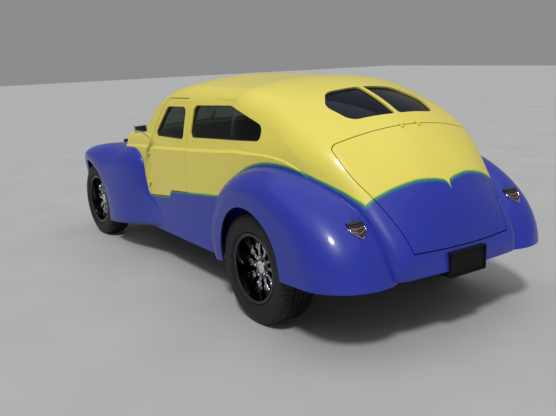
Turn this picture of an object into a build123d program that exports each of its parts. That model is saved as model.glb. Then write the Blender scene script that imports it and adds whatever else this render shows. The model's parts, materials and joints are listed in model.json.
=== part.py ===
"""A two-door fastback hot rod on a separate frame, in millimetres.

X points forward, Y to the car's left and Z up. The origin lies on the ground
under the middle of the car. Stations are counted forward from the rear axle,
so sketches on the planes below use the station as their first coordinate.
"""
from build123d import *
import os
from math import cos, radians, sin, tan

os.makedirs("parts", exist_ok=True)

# Stance
WHEELBASE = 2845
FRONT_OVERHANG = 525
REAR_OVERHANG = 985
REAR_AXLE_X = (REAR_OVERHANG - WHEELBASE - FRONT_OVERHANG) / 2
SILL_Z = 295

# Wheels
REAR_TYRE_RADIUS = 362
REAR_TYRE_WIDTH = 255
REAR_WHEEL_Y = 735
FRONT_TYRE_RADIUS = 342
FRONT_TYRE_WIDTH = 215
FRONT_WHEEL_Y = 705
RIM_SEAT_RADIUS = 215
RIM_LIP_RADIUS = 227
RIM_WALL = 8
RIM_LIP = 2
BEAD_INSET = 25
SIDEWALL_RADIUS = 255
SHOULDER = (40, 50)
HUB_RADIUS = 75
SPOKES = 10
SPOKE_WIDTH = 24
SPOKE_DEPTH = 26
LUGS = 5
LUG_CIRCLE_RADIUS = 57
LUG_RADIUS = 9
BORE_RADIUS = 34
BEARING_GAP = 0.05
FIT = 0.3

# Body shell
BODY_WALL = 40
FIREWALL_STATION = 2200
PILLAR_Z = 1000
PILLAR_FOOT_TRIM = 20
COWL_WALL = 25
FENDER_SKIN = 12
ARCH_OVERRUN = 20
SIDE_BULGE = 10
SHUT_GAP = 6
DOOR_REBATE = 7
PIVOT_STATION = 450

# Angle from upright, station, then half widths and heights above the sill
BODY_FRONT_SECTIONS = (
    # angle, station, base_half, belt_half, belt, ledge, rail_half, rail, crown, rail_radius
    (0, 1980, 745, 743, 632, 20, 605, 845, 985, 110),
    (0, 1470, 757, 754, 664, 20, 640, 1088, 1188, 140),
    (0, 960, 760, 757, 699, 20, 652, 1142, 1222, 150),
    (0, PIVOT_STATION, 760, 757, 740, 20, 655, 1140, 1215, 160),
)
BODY_TAIL_SECTIONS = (
    # angle, station, base_half, belt_half, belt, ledge, rail_half, rail, crown, rail_radius
    (0, PIVOT_STATION, 760, 757, 740, 20, 655, 1140, 1215, 160),
    (16, PIVOT_STATION, 760, 751, 785, 17, 652, 1133, 1237, 185),
    (32, PIVOT_STATION, 760, 733, 898, 12, 646, 1157, 1275, 220),
    (48, PIVOT_STATION, 760, 695, 1040, 7, 622, 1215, 1340, 225),
    (62, PIVOT_STATION, 760, 645, 1095, 4, 548, 1262, 1405, 190),
    (75, PIVOT_STATION, 760, 605, 1120, 4, 505, 1372, 1432, 120),
    (84, PIVOT_STATION, 760, 592, 1135, 4, 485, 1398, 1430, 90),
)
COWL_SECTIONS = (
    # angle, station, base_half, belt_half, belt, ledge, rail_half, rail, crown, rail_radius
    (0, 1650, 757, 755, 652, 20, 700, 782, 812, 70),
    (0, 1930, 751, 749, 640, 20, 690, 770, 800, 80),
    (0, 2230, 735, 732, 612, 18, 664, 745, 778, 90),
)

# Fenders, as sections on planes that turn about the wheel arch's centre
REAR_ARCH = (-25, 383)
FRONT_ARCH = (WHEELBASE, 342)
REAR_FENDER_SECTIONS = (
    # angle, inner, seam, crown_half, crown, outer, shoulder, lip
    (-98, 690, 585, 720, 590, 862, 425, 385),
    (-65, 690, 650, 720, 660, 885, 440, 385),
    (-30, 680, 603, 720, 617, 908, 450, 385),
    (0, 660, 610, 710, 620, 925, 460, 385),
    (30, 600, 651, 680, 677, 930, 490, 385),
    (60, 480, 745, 665, 804, 930, 560, 385),
    (87, 440, 840, 620, 915, 930, 610, 385),
)
FRONT_FENDER_SECTIONS = (
    # angle, inner, seam, crown_half, crown, outer, shoulder, lip
    (-92, 400, 455, 600, 500, 742, 405, 385),
    (-55, 400, 480, 640, 520, 775, 415, 385),
    (-20, 400, 470, 690, 492, 862, 420, 385),
    (10, 400, 495, 715, 525, 912, 430, 385),
    (38, 430, 700, 720, 735, 915, 470, 390),
    (60, 600, 1060, 700, 1085, 912, 520, 395),
    (72, 650, 1118, 700, 1138, 905, 530, 395),
    (80, 680, 1120, 700, 1138, 898, 545, 398),
    (88, 690, 1285, 700, 1300, 880, 560, 400),
    (97, 700, 1440, 710, 1455, 860, 600, 540),
)

# Windscreen, in two panes that meet at the centre
SCREEN_STATION = 2013
SCREEN_Z = 1085
SCREEN_VEE = 8
SCREEN_RAKE = 42
SCREEN_FRAME = 40
SCREEN_PANE = (
    # distance from the centre, distance up the slope, corner radius
    (18, 42, 18),
    (592, 26, 45),
    (528, 345, 80),
    (18, 452, 22),
)
SCREEN_GLASS_DEPTH = 10
GLASS_DEPTH = 16
GLASS = 6

# Doors, hinged on upright lines outside their front edge
DOOR_FRONT = 1702
DOOR_REAR = 1040
DOOR_OUTLINE = (
    # station, height, corner radius
    (DOOR_FRONT, 560, 12),
    (DOOR_FRONT, 1010, 60),
    (1528, 1302, 90),
    (1440, 1352, 60),
    (DOOR_REAR, 1368, 60),
    (DOOR_REAR, 676, 12),
    (1302, 652, 10),
    (1345, 600, 10),
)
DOOR_WINDOW = (
    # station, height, corner radius
    (1632, 1050, 25),
    (1452, 1290, 75),
    (1104, 1304, 50),
    (1108, 1064, 35),
)
QUARTER_WINDOW = (
    # station, height, corner radius
    (1000, 1088, 40),
    (985, 1320, 60),
    (420, 1345, 450),
    (82, 1235, 55),
    (82, 1140, 42),
)
REAR_WINDOW = (
    # half width, distance down the slope, corner radius
    (16, -172, 22),
    (290, -165, 110),
    (402, -5, 110),
    (350, 193, 85),
    (16, 208, 26),
)
REAR_WINDOW_CENTRE = (-200, 1370)
REAR_WINDOW_SLOPE = 28

# Door hinges: pin line, heights of the fixed barrels, and how far the leaves reach
DOOR_HINGE_Y = 764
DOOR_HINGE_LOWS = (640, 880)
HINGE_BARREL = 18
HINGE_STEP = 20
HINGE_RADIUS = 6
HINGE_PIN = 3
HINGE_REACH = 28
HINGE_INNER_Y = 750

# Lid hinges beside the middle of its top edge
LID_HINGE = (-488, 1236)
LID_HINGE_Y = 40
LID_HINGE_SLOPE = 27
LID_BARREL_RADIUS = 4
LID_PIN = 2
LID_POCKET = 1.5

# Side skirts between the fenders, flush with the body's side
SKIRT_OUTLINE = (
    # station, height
    (430, SILL_Z - 60),
    (430, 744),
    (1302, 652),
    (1345, 600),
    (DOOR_FRONT, 560),
    (DOOR_FRONT, SILL_Z - 60),
)

# Boot lid, drawn on a plane that faces up and back
LID_CENTRE = (-600, 1000)
LID_SLOPE = 45
LID_TOP = (574, -220, -240)
LID_SHOULDER = (557, -40)
LID_HIP = (503, 130)
LID_WAIST = (446, 310)
LID_FOOT = (394, 532, 552)
LID_CORNER = 40
LID_SKIN = 6
LID_FRAME_INSET = 30

# Bench seats, as side profiles
FRONT_CUSHION = ((905.8, 530), (1385, 530), (1400, 655), (1330, 690), (882.1, 665))
FRONT_BACKREST = ((900, 560), (790, 560), (712, 1110), (800, 1130))
REAR_CUSHION = ((87.4, 621), (545, 621), (565, 755), (500, 792), (66.3, 765))
REAR_BACKREST = ((84, 640), (-50, 640), (-60, 1065), (20, 1078))
FRONT_BENCH_HALF = 600
REAR_BENCH_HALF = 520

# Floor and frame: station and height of the rails' top face
RAIL_LINE = ((-868, 557), (-420, 585), (330, 585), (620, 450), (2300, 450), (2650, 485), (3120, 485))
RAIL_HEIGHT = 110
RAIL_WALL = 8
RAIL_INNER_Y = 330
JACK_PAD = (950, 1050, 335, 385, 332, 342)
RAIL_OUTER_Y = 390
FLOOR_LINE = ((-862, 585), (330, 585), (620, 450), (1950, 450), (FIREWALL_STATION, 612))
FLOOR_SKIN = 8
FLOOR_HALF = 760
TOE_HALF = 705
TUNNELS = (
    # rear station, front station, half width, top
    (800, 1568, 72, 512),
    (1560, FIREWALL_STATION, 150, 592),
)
CROSSMEMBERS = (
    # rear station, front station, low, high
    (-864, -830, 462, 540),
    (1720, 1780, 350, 379.3),
    (2815, 2895, 385, 445),
    (3040, 3100, 385, 420),
)

# Wheel tubs inside the rear wheel openings
TUB_RADIUS = 400
TUB_SKIN = 8
TUB_INNER_Y = 545
TUB_BOTTOM = 425

# Engine, as a profile across the car
ENGINE_REAR = 2290
ENGINE_FRONT = 2780
ENGINE_PROFILE = ((60, 640), (170, 730), (270, 640), (150, 470), (110, 380))
COVER_CENTRE = (220, 685)
COVER_ANGLE = 42
COVER_LENGTH = 430
COVER_WIDTH = 100
COVER_HEIGHT = 50
FINS = 6
HEADER_Y = 300
HEADER_Z = 560
PORTS = 4
PORT_PITCH = 110

# Axles
AXLE_DROP = ((-585, 330), (-450, 250), (450, 250), (585, 330))
AXLE_RADIUS = 28
KINGPIN_Y = 585
KINGPIN_RADIUS = 9
KNUCKLE_GAP = 2
BOSS_RADIUS = 24
BOSS_HALF = 35
ARM_THICKNESS = 14
SPRING_Y = 470
SPRING_WIDTH = 60
SPRING_THICKNESS = 30

# Headlamps and tail lamps
LAMP_REAR = 3152
LAMP_SHOULDER = 3214
LAMP_TIP_RADIUS = 40
LAMP_FRONT = 3300
LAMP_Y = 600
LAMP_Z = 640
LAMP_RADIUS = 98
LENS_RADIUS = 90
LAMP_RECESS = 14
LENS_BULGE = 10
TAIL_LAMP = (-785, 659, 741)
TAIL_LAMP_OUTLINE = ((-55, 32), (-55, -8), (0, -45), (55, -8), (55, 32))
TAIL_LAMP_DEPTH = 8

# Hem of the front fender: a point on it and its slope in degrees
FENDER_HEM = (2331, 0, 231)
HEM_SLOPE = 4.3

# Rear plate recess, with two holes in a line
PLATE_HALF = 150
PLATE_LOW = 403
PLATE_HIGH = 552
PLATE_RIM = 8
PLATE_RECESS = 10
PLATE_PITCH = 178
PLATE_HOLE_Z = 498
PLATE_HOLE_RADIUS = 3.5
PLATE_HOLE_DEPTH = 20
MIRROR_ARM = 6

# Parcel shelf: rear, front, right, left, low, high
SHELF = (-330, -60, -760, 760, 1080, 1092)
SHELF_SKIN = 12
BULKHEAD_STATION = -60.5

# Dashboard: rear, front, right, left, low, high
DASH = (1715, 1790, -760, 760, 860, 1120)
GAUGE_RADIUS = 52
STEERING_CENTRE = (1480, 380, 900)
COLUMN_FOOT = (2280, 380, 656)
COLUMN_RADIUS = 20
STEERING_RADIUS = 190
STEERING_RIM = 13

# Drive line and exhaust
GEARBOX_RADIUS = 84
BELL_RADIUS = 150
SHAFT_RADIUS = 34
BANJO_RADIUS = 120
AXLE_TUBE_RADIUS = 38
DRUM_RADIUS = 140
DRUM_INNER_Y = 600
DRUM_OUTER_Y = 660
EXHAUST_PATH = ((2345, 300, 506), (2180, 250, 330), (2080, 240, 312), (560, 240, 312))
EXHAUST_RADIUS = 26
MUFFLER = (750, 1150, 65)

# Cooling and nose
RADIATOR = (3040, 3100, -300, 300, 420, 900)
SUPPORT = (3092, 3100, -399.7, 399.7, 485, 860)
NOSE_REAR = 3120
NOSE_HALF = 399.7
NOSE_SKIN = 14
NOSE_LOW = 330
NOSE_HIGH = 790
SLOTS = 13
SLOT_PITCH = 30
SLOT_HEIGHT = 14


def across(station, height=0):
    """An upright plane across the car."""
    origin = (REAR_AXLE_X + station, 0, height)
    return Plane(origin=origin, x_dir=(0, 1, 0), z_dir=(1, 0, 0))


def fan(station, height, angle):
    """A plane across the car that leans back by an angle about a line at a station."""
    lean = radians(angle)
    origin = (REAR_AXLE_X + station, 0, height)
    return Plane(origin=origin, x_dir=(0, 1, 0), z_dir=(cos(lean), 0, sin(lean)))


def lengthwise(y=0):
    """An upright plane along the car; a positive extrusion goes to the right."""
    return Plane(origin=(REAR_AXLE_X, y, 0), x_dir=(1, 0, 0), z_dir=(0, -1, 0))


def level(z):
    """A level plane."""
    return Plane(origin=(REAR_AXLE_X, 0, z))


CAR = level(0)


def save(piece, name):
    """Label a finished piece and write its file."""
    piece.part.label = name
    export_step(piece.part, f"parts/{name}.step")


def save_pair(piece, name):
    """Write a left-hand piece and its mirror image for the right."""
    save(piece, f"{name}_left")
    with BuildPart() as twin:
        mirror(piece.part, about=Plane.XZ)
    save(twin, f"{name}_right")


def save_both(piece, name):
    """Write a left-hand piece and its mirror image as one file."""
    with BuildPart() as both:
        add(piece.part)
        mirror(piece.part, about=Plane.XZ)
    save(both, name)


def body_volume(rows, wall, foot):
    """The form through the rows of sections, drawn in by a wall, from a foot height up."""
    with BuildPart() as volume:
        for angle, station, base_half, belt_half, belt, ledge, rail_half, rail, crown, rail_radius in rows:
            with BuildSketch(fan(station, SILL_Z, angle)):
                with BuildLine():
                    Line((wall - base_half, foot), (base_half - wall, foot))
                    for side in (1, -1):
                        base = (side * (base_half - wall), foot)
                        low = (side * (belt_half - wall), belt)
                        high = (side * (belt_half - ledge - wall), belt + ledge)
                        corner = (side * (rail_half - wall), rail - wall)
                        swell = side * (belt_half - ledge + rail_half - 2 * wall + 2 * SIDE_BULGE) / 2
                        Polyline(base, low, high)
                        ThreePointArc(high, (swell, (belt + ledge + rail - wall) / 2), corner)
                    ThreePointArc((rail_half - wall, rail - wall), (0, crown - wall), (wall - rail_half, rail - wall))
                make_face()
                fillet(vertices().group_by(Axis.Y)[-1], radius=rail_radius - wall / 2)
        loft()
    return volume.part


def screen_wedge(setback):
    """What lies ahead of both windscreen panes, moved back by a setback."""
    vee = radians(SCREEN_VEE)
    rake = radians(SCREEN_RAKE)
    reach = 700
    height = reach * tan(rake)
    origin = (REAR_AXLE_X + SCREEN_STATION - setback, 0, SCREEN_Z)
    with BuildPart() as wedge:
        with BuildSketch(Plane(origin=origin, x_dir=(cos(vee), sin(vee), 0), z_dir=(sin(vee), -cos(vee), 0))):
            Polygon((0, 0), (-reach, height), (reach, height), (reach, -reach), (0, -reach), align=None)
        extrude(amount=1000, both=True)
        mirror(about=Plane.XZ)
    return wedge.part


def fender_volume(arch, rows, skin, overrun=0):
    """A fender's form through sections that turn about the arch's centre."""
    with BuildPart() as volume:
        for angle, inner, seam, crown_half, crown, outer, shoulder, lip in rows:
            foot = lip - overrun
            with BuildSketch(fan(arch[0], arch[1], angle)):
                with BuildLine():
                    Polyline((inner + skin, seam - skin), (inner + skin, foot), (outer - skin, foot),
                             (outer - skin, shoulder))
                    EllipticalCenterArc((crown_half, shoulder), outer - skin - crown_half,
                                        crown - skin - shoulder, start_angle=0, arc_size=90)
                    TangentArc((crown_half, crown - skin), (inner + skin, seam - skin), tangent=(-1, 0))
                make_face()
        loft()
    return volume.part


def lamp_form(grow, front):
    """A headlamp's bucket, turned about its own line and let out on every side."""
    with BuildPart() as volume:
        with BuildSketch(Plane(origin=at(0, LAMP_Y, LAMP_Z), x_dir=(1, 0, 0), z_dir=(0, -1, 0))):
            with BuildLine():
                Polyline((LAMP_REAR - grow, 0), (LAMP_REAR - grow, LAMP_TIP_RADIUS + grow),
                         (LAMP_SHOULDER - grow, LAMP_RADIUS + grow), (front, LAMP_RADIUS + grow), (front, 0),
                         close=True)
            make_face()
        revolve(axis=Axis(at(0, LAMP_Y, LAMP_Z), (1, 0, 0)))
    return volume.part


def rounded(points):
    """A closed outline from rows of two coordinates and a corner radius."""
    corners = [(first, second) for first, second, _ in points]
    FilletPolyline(*corners, radius=[radius for _, _, radius in points], close=True)


def side_blank(points, grow):
    """A rounded outline on the car's side, pushed through both walls of the body."""
    with BuildPart() as blank:
        with BuildSketch(lengthwise()):
            with BuildLine():
                rounded(points)
            make_face()
            offset(amount=grow)
        extrude(amount=1000, both=True)
    return blank.part


def rear_window_blank(grow):
    """Both rear windows, pushed through the sloping roof."""
    slope = radians(REAR_WINDOW_SLOPE)
    origin = (REAR_AXLE_X + REAR_WINDOW_CENTRE[0], 0, REAR_WINDOW_CENTRE[1])
    with BuildPart() as blank:
        with BuildSketch(Plane(origin=origin, x_dir=(0, 1, 0), z_dir=(-sin(slope), 0, cos(slope)))):
            with BuildLine():
                rounded(REAR_WINDOW)
            make_face()
            offset(amount=grow)
        extrude(amount=200, both=True)
        mirror(about=Plane.XZ)
    return blank.part


def lid_blank(grow):
    """The boot lid's outline, let out on every side and pushed through the tail."""
    slope = radians(LID_SLOPE)
    origin = (REAR_AXLE_X + LID_CENTRE[0], 0, LID_CENTRE[1])
    half, top, top_middle = LID_TOP
    foot_half, foot, foot_middle = LID_FOOT
    with BuildPart() as blank:
        with BuildSketch(Plane(origin=origin, x_dir=(0, 1, 0), z_dir=(-sin(slope), 0, cos(slope)))):
            with BuildLine():
                ThreePointArc((half + grow, top - grow), (0, top_middle - grow), (-half - grow, top - grow))
                ThreePointArc((foot_half + grow, foot + grow), (0, foot_middle + grow),
                              (-foot_half - grow, foot + grow))
                for side in (1, -1):
                    upper = (side * (half + grow), top - grow)
                    shoulder = (side * (LID_SHOULDER[0] + grow), LID_SHOULDER[1])
                    hip = (side * (LID_HIP[0] + grow), LID_HIP[1])
                    waist = (side * (LID_WAIST[0] + grow), LID_WAIST[1])
                    lower = (side * (foot_half + grow), foot + grow)
                    ThreePointArc(upper, shoulder, hip)
                    ThreePointArc(hip, waist, lower)
            make_face()
            fillet(vertices().group_by(Axis.Y)[0], radius=LID_CORNER + grow)
        extrude(amount=500, both=True)
    return blank.part


def skirt_blank(grow):
    """The side skirts' outline, pushed through both walls of the body."""
    with BuildPart() as blank:
        with BuildSketch(lengthwise()):
            with BuildLine():
                Polyline(*SKIRT_OUTLINE, close=True)
            make_face()
            offset(amount=grow, kind=Kind.INTERSECTION)
        extrude(amount=1000, both=True)
    return blank.part


def half_space(side):
    """A large block on one side of the car, out from its middle."""
    with BuildPart() as block:
        with Locations((0, side * 1000, 1000)):
            Box(6000, 2000, 3000)
    return block.part


def at(station, y, z):
    """A point from its station, its distance to the left and its height."""
    return (REAR_AXLE_X + station, y, z)


def block(rear, front, right, left, low, high, mode=Mode.ADD):
    """A box between two stations, two sides and two heights."""
    with Locations(at((rear + front) / 2, (right + left) / 2, (low + high) / 2)):
        Box(front - rear, left - right, high - low, mode=mode)


def bar(start, end, radius, mode=Mode.ADD):
    """A round bar between two points."""
    axis = Vector(*end) - Vector(*start)
    with Locations(Plane(origin=start, z_dir=axis)):
        Cylinder(radius, axis.length, align=(Align.CENTER, Align.CENTER, Align.MIN), mode=mode)


def lid_hinge_plane(y):
    """A plane on the lid's hinge line whose first axis runs up the roof."""
    slope = radians(LID_HINGE_SLOPE)
    return Plane(origin=at(LID_HINGE[0], y, LID_HINGE[1]), x_dir=(cos(slope), 0, sin(slope)),
                 z_dir=(-sin(slope), 0, cos(slope)))


def profile_volume(points, right, left):
    """A side profile of stations and heights, made solid between two sides."""
    with BuildPart() as volume:
        with BuildSketch(lengthwise(left)):
            Polygon(*points, align=None)
        extrude(amount=left - right)
    return volume.part


def screen_blank(grow):
    """Both windscreen openings, pushed through the sloping screen frame."""
    vee = radians(SCREEN_VEE)
    rake = radians(SCREEN_RAKE)
    facing = (cos(vee) * sin(rake), sin(vee) * sin(rake), cos(rake))
    origin = (REAR_AXLE_X + SCREEN_STATION, 0, SCREEN_Z)
    with BuildPart() as blank:
        with BuildSketch(Plane(origin=origin, x_dir=(-sin(vee), cos(vee), 0), z_dir=facing)):
            with BuildLine():
                rounded(SCREEN_PANE)
            make_face()
            offset(amount=grow)
        extrude(amount=2 * SCREEN_FRAME, both=True)
        mirror(about=Plane.XZ)
    return blank.part


# Holes for the rear plate's bolts
with BuildPart() as plate_holes:
    for y in (-PLATE_PITCH / 2, PLATE_PITCH / 2):
        hole_end = at(-REAR_OVERHANG + PLATE_RECESS + PLATE_HOLE_DEPTH, y, PLATE_HOLE_Z)
        bar(at(-REAR_OVERHANG, y, PLATE_HOLE_Z), hole_end, PLATE_HOLE_RADIUS)

# Body forms shared by the pieces below
with BuildPart() as body_form:
    add(body_volume(BODY_FRONT_SECTIONS, 0, 0))
    add(body_volume(BODY_TAIL_SECTIONS, 0, 60))
    add(screen_wedge(0), mode=Mode.SUBTRACT)

with BuildPart() as body_room:
    add(body_volume(BODY_FRONT_SECTIONS, BODY_WALL, -20))
    add(body_volume(BODY_TAIL_SECTIONS, BODY_WALL, 20))
    add(screen_wedge(SCREEN_FRAME), mode=Mode.SUBTRACT)

with BuildPart() as glass_room:
    add(body_volume(BODY_FRONT_SECTIONS, GLASS_DEPTH, -10))
    add(body_volume(BODY_TAIL_SECTIONS, GLASS_DEPTH, 50))

with BuildPart() as glass_layer:
    add(glass_room.part)
    add(body_volume(BODY_FRONT_SECTIONS, GLASS_DEPTH + GLASS, -20), mode=Mode.SUBTRACT)
    add(body_volume(BODY_TAIL_SECTIONS, GLASS_DEPTH + GLASS, 20), mode=Mode.SUBTRACT)

with BuildPart() as cowl_form:
    add(body_volume(COWL_SECTIONS, 0, 0))
    split(bisect_by=across(DOOR_FRONT + SHUT_GAP / 2), keep=Keep.TOP)

with BuildPart() as cowl_room:
    add(body_volume(COWL_SECTIONS, COWL_WALL, -20))
    split(bisect_by=across(FIREWALL_STATION), keep=Keep.BOTTOM)

door_hole = side_blank(DOOR_OUTLINE, SHUT_GAP / 2)
door_shape = side_blank(DOOR_OUTLINE, -SHUT_GAP / 2)
door_window = side_blank(DOOR_WINDOW, 0)
quarter_window = side_blank(QUARTER_WINDOW, 0)

# Body shell: roof, quarters, tail and windscreen frame
with BuildPart() as body_shell:
    add(body_form.part)
    add(body_room.part, mode=Mode.SUBTRACT)
    block(DOOR_FRONT - PILLAR_FOOT_TRIM, DOOR_FRONT + 1000, -1000, 1000, 0, PILLAR_Z, mode=Mode.SUBTRACT)
    add(cowl_form.part, mode=Mode.SUBTRACT)
    add(door_hole, mode=Mode.SUBTRACT)
    add(quarter_window, mode=Mode.SUBTRACT)
    add(rear_window_blank(0), mode=Mode.SUBTRACT)
    add(screen_blank(0), mode=Mode.SUBTRACT)
    add(skirt_blank(0), mode=Mode.SUBTRACT)
    add(lid_blank(SHUT_GAP / 2), mode=Mode.SUBTRACT)
    add(plate_holes.part, mode=Mode.SUBTRACT)
    bar(at(0, -1000, REAR_TYRE_RADIUS), at(0, -TUB_INNER_Y, REAR_TYRE_RADIUS), TUB_RADIUS, mode=Mode.SUBTRACT)
    bar(at(0, TUB_INNER_Y, REAR_TYRE_RADIUS), at(0, 1000, REAR_TYRE_RADIUS), TUB_RADIUS, mode=Mode.SUBTRACT)
    for side in (-1, 1):
        inner = at(LID_HINGE[0], side * LID_HINGE_Y, LID_HINGE[1])
        middle = at(LID_HINGE[0], side * (LID_HINGE_Y + HINGE_BARREL), LID_HINGE[1])
        pocket_start = at(LID_HINGE[0], side * (LID_HINGE_Y + HINGE_STEP - 1), LID_HINGE[1])
        outer = at(LID_HINGE[0], side * (LID_HINGE_Y + HINGE_STEP + HINGE_BARREL), LID_HINGE[1])
        pocket_end = at(LID_HINGE[0], side * (LID_HINGE_Y + HINGE_STEP + HINGE_BARREL + 1), LID_HINGE[1])
        bar(pocket_start, pocket_end, LID_BARREL_RADIUS + LID_POCKET, mode=Mode.SUBTRACT)
        bar(inner, middle, LID_BARREL_RADIUS)
        bar(inner, outer, LID_PIN)
save(body_shell, "body_shell")

# Cowl: scuttle, kick panels and firewall
with BuildPart() as cowl:
    add(cowl_form.part)
    add(cowl_room.part, mode=Mode.SUBTRACT)
    block(FIREWALL_STATION - 1, 3000, -TOE_HALF, TOE_HALF, 0, FLOOR_LINE[-1][1], mode=Mode.SUBTRACT)
    for low in DOOR_HINGE_LOWS:
        for side in (-1, 1):
            hinge_y = side * DOOR_HINGE_Y
            leaf_y = side * HINGE_INNER_Y
            block(DOOR_FRONT, DOOR_FRONT + HINGE_REACH, min(hinge_y, leaf_y), max(hinge_y, leaf_y), low,
                  low + HINGE_BARREL)
            bar(at(DOOR_FRONT, hinge_y, low), at(DOOR_FRONT, hinge_y, low + HINGE_BARREL), HINGE_RADIUS)
            bar(at(DOOR_FRONT, hinge_y, low), at(DOOR_FRONT, hinge_y, low + HINGE_STEP + HINGE_BARREL), HINGE_PIN)
save(cowl, "cowl")

# Boot lid: a skin with a smaller frame inside it, so that it swings clear
with BuildPart() as lid_skin_room:
    add(body_volume(BODY_FRONT_SECTIONS, LID_SKIN, -10))
    add(body_volume(BODY_TAIL_SECTIONS, LID_SKIN, 50))
with BuildPart() as lid_frame:
    add(lid_skin_room.part)
    add(body_room.part, mode=Mode.SUBTRACT)
    add(lid_blank(-LID_FRAME_INSET), mode=Mode.INTERSECT)
with BuildPart() as boot_lid:
    add(body_form.part)
    add(lid_skin_room.part, mode=Mode.SUBTRACT)
    add(lid_blank(-SHUT_GAP / 2), mode=Mode.INTERSECT)
    add(lid_frame.part)
    for side in (-1, 1):
        inner = side * (LID_HINGE_Y + HINGE_STEP)
        outer = inner + side * HINGE_BARREL
        with Locations(lid_hinge_plane((inner + outer) / 2)):
            with Locations((-4.5, 0, 1.2)):
                Box(9, HINGE_BARREL, 4)
            with Locations((-19, 0, -3)):
                Box(21, HINGE_BARREL, 12.4)
        bar(at(LID_HINGE[0], inner, LID_HINGE[1]), at(LID_HINGE[0], outer, LID_HINGE[1]), LID_BARREL_RADIUS)
        bar(at(LID_HINGE[0], inner, LID_HINGE[1]), at(LID_HINGE[0], outer, LID_HINGE[1]), LID_PIN + BEARING_GAP,
            mode=Mode.SUBTRACT)
save(boot_lid, "boot_lid")

# Doors, with the inner part of the rear edge set back so that it swings clear
with BuildPart() as door:
    add(body_form.part)
    add(body_room.part, mode=Mode.SUBTRACT)
    add(half_space(1), mode=Mode.INTERSECT)
    add(door_shape, mode=Mode.INTERSECT)
    add(door_window, mode=Mode.SUBTRACT)
with BuildPart() as rebate:
    add(glass_room.part)
    with Locations(at(DOOR_REAR, 0, 1000)):
        Box(2 * (SHUT_GAP / 2 + DOOR_REBATE), 2000, 2000, mode=Mode.INTERSECT)
with BuildPart() as door_panel:
    add(door.part)
    add(rebate.part, mode=Mode.SUBTRACT)
    for fixed_low in DOOR_HINGE_LOWS:
        low = fixed_low + HINGE_STEP
        high = low + HINGE_BARREL
        block(DOOR_FRONT - HINGE_REACH, DOOR_FRONT, HINGE_INNER_Y, DOOR_HINGE_Y, low, high)
        bar(at(DOOR_FRONT, DOOR_HINGE_Y, low), at(DOOR_FRONT, DOOR_HINGE_Y, high), HINGE_RADIUS)
        bar(at(DOOR_FRONT, DOOR_HINGE_Y, low), at(DOOR_FRONT, DOOR_HINGE_Y, high), HINGE_PIN + BEARING_GAP,
            mode=Mode.SUBTRACT)
save_pair(door_panel, "door")

# Side skirts
with BuildPart() as skirt:
    add(body_form.part)
    add(body_room.part, mode=Mode.SUBTRACT)
    add(half_space(1), mode=Mode.INTERSECT)
    add(skirt_blank(0), mode=Mode.INTERSECT)
    add(door_hole, mode=Mode.SUBTRACT)
    bar(at(0, TUB_INNER_Y, REAR_TYRE_RADIUS), at(0, 1000, REAR_TYRE_RADIUS), TUB_RADIUS, mode=Mode.SUBTRACT)
save_both(skirt, "skirts")

# Glass
with BuildPart() as windshield:
    add(screen_blank(-FIT))
    add(screen_wedge(SCREEN_GLASS_DEPTH + GLASS), mode=Mode.INTERSECT)
    add(screen_wedge(SCREEN_GLASS_DEPTH), mode=Mode.SUBTRACT)
save(windshield, "windshield")

with BuildPart() as door_glass:
    add(glass_layer.part)
    add(half_space(1), mode=Mode.INTERSECT)
    add(side_blank(DOOR_WINDOW, -FIT), mode=Mode.INTERSECT)
save_pair(door_glass, "door_glass")

with BuildPart() as quarter_glass:
    add(glass_layer.part)
    add(half_space(1), mode=Mode.INTERSECT)
    add(side_blank(QUARTER_WINDOW, -FIT), mode=Mode.INTERSECT)
save_both(quarter_glass, "quarter_glass")

with BuildPart() as rear_glass:
    add(glass_layer.part)
    add(rear_window_blank(-FIT), mode=Mode.INTERSECT)
save(rear_glass, "rear_glass")

# Fenders
with BuildPart() as rear_fender:
    add(fender_volume(REAR_ARCH, REAR_FENDER_SECTIONS, 0))
    add(fender_volume(REAR_ARCH, REAR_FENDER_SECTIONS, FENDER_SKIN, ARCH_OVERRUN), mode=Mode.SUBTRACT)
    add(body_form.part, mode=Mode.SUBTRACT)
with BuildPart() as rear_fender_shell:
    add(rear_fender.part.solids().sort_by(SortBy.VOLUME)[-1])
save_pair(rear_fender_shell, "fender_rear")

lamp_end = at(LAMP_FRONT, LAMP_Y, LAMP_Z)
with BuildPart() as front_fender:
    add(fender_volume(FRONT_ARCH, FRONT_FENDER_SECTIONS, 0))
    add(fender_volume(FRONT_ARCH, FRONT_FENDER_SECTIONS, FENDER_SKIN, ARCH_OVERRUN), mode=Mode.SUBTRACT)
    add(cowl_form.part, mode=Mode.SUBTRACT)
    add(body_form.part, mode=Mode.SUBTRACT)
    split(bisect_by=Plane(origin=at(*FENDER_HEM), z_dir=(sin(radians(HEM_SLOPE)), 0, cos(radians(HEM_SLOPE)))),
          keep=Keep.TOP)
    add(lamp_form(FIT, LAMP_FRONT + 200), mode=Mode.SUBTRACT)
    block(2000, 3500, 0, FRONT_FENDER_SECTIONS[0][1], 0, 1000, mode=Mode.SUBTRACT)
save_pair(front_fender, "fender_front")

# Headlamps: a bucket with a domed lens
with BuildPart() as headlamp:
    add(lamp_form(0, LAMP_FRONT))
    bar(at(LAMP_FRONT - LAMP_RECESS, LAMP_Y, LAMP_Z), lamp_end, LENS_RADIUS, mode=Mode.SUBTRACT)
save_both(headlamp, "headlamps")

with BuildPart() as lamp_lens:
    bar(at(LAMP_FRONT - LAMP_RECESS, LAMP_Y, LAMP_Z), at(LAMP_FRONT + LENS_BULGE, LAMP_Y, LAMP_Z), LENS_RADIUS)
    fillet(edges().filter_by(GeomType.CIRCLE).sort_by(Axis.X)[-1], radius=LENS_BULGE)
save_both(lamp_lens, "lamp_lenses")

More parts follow.
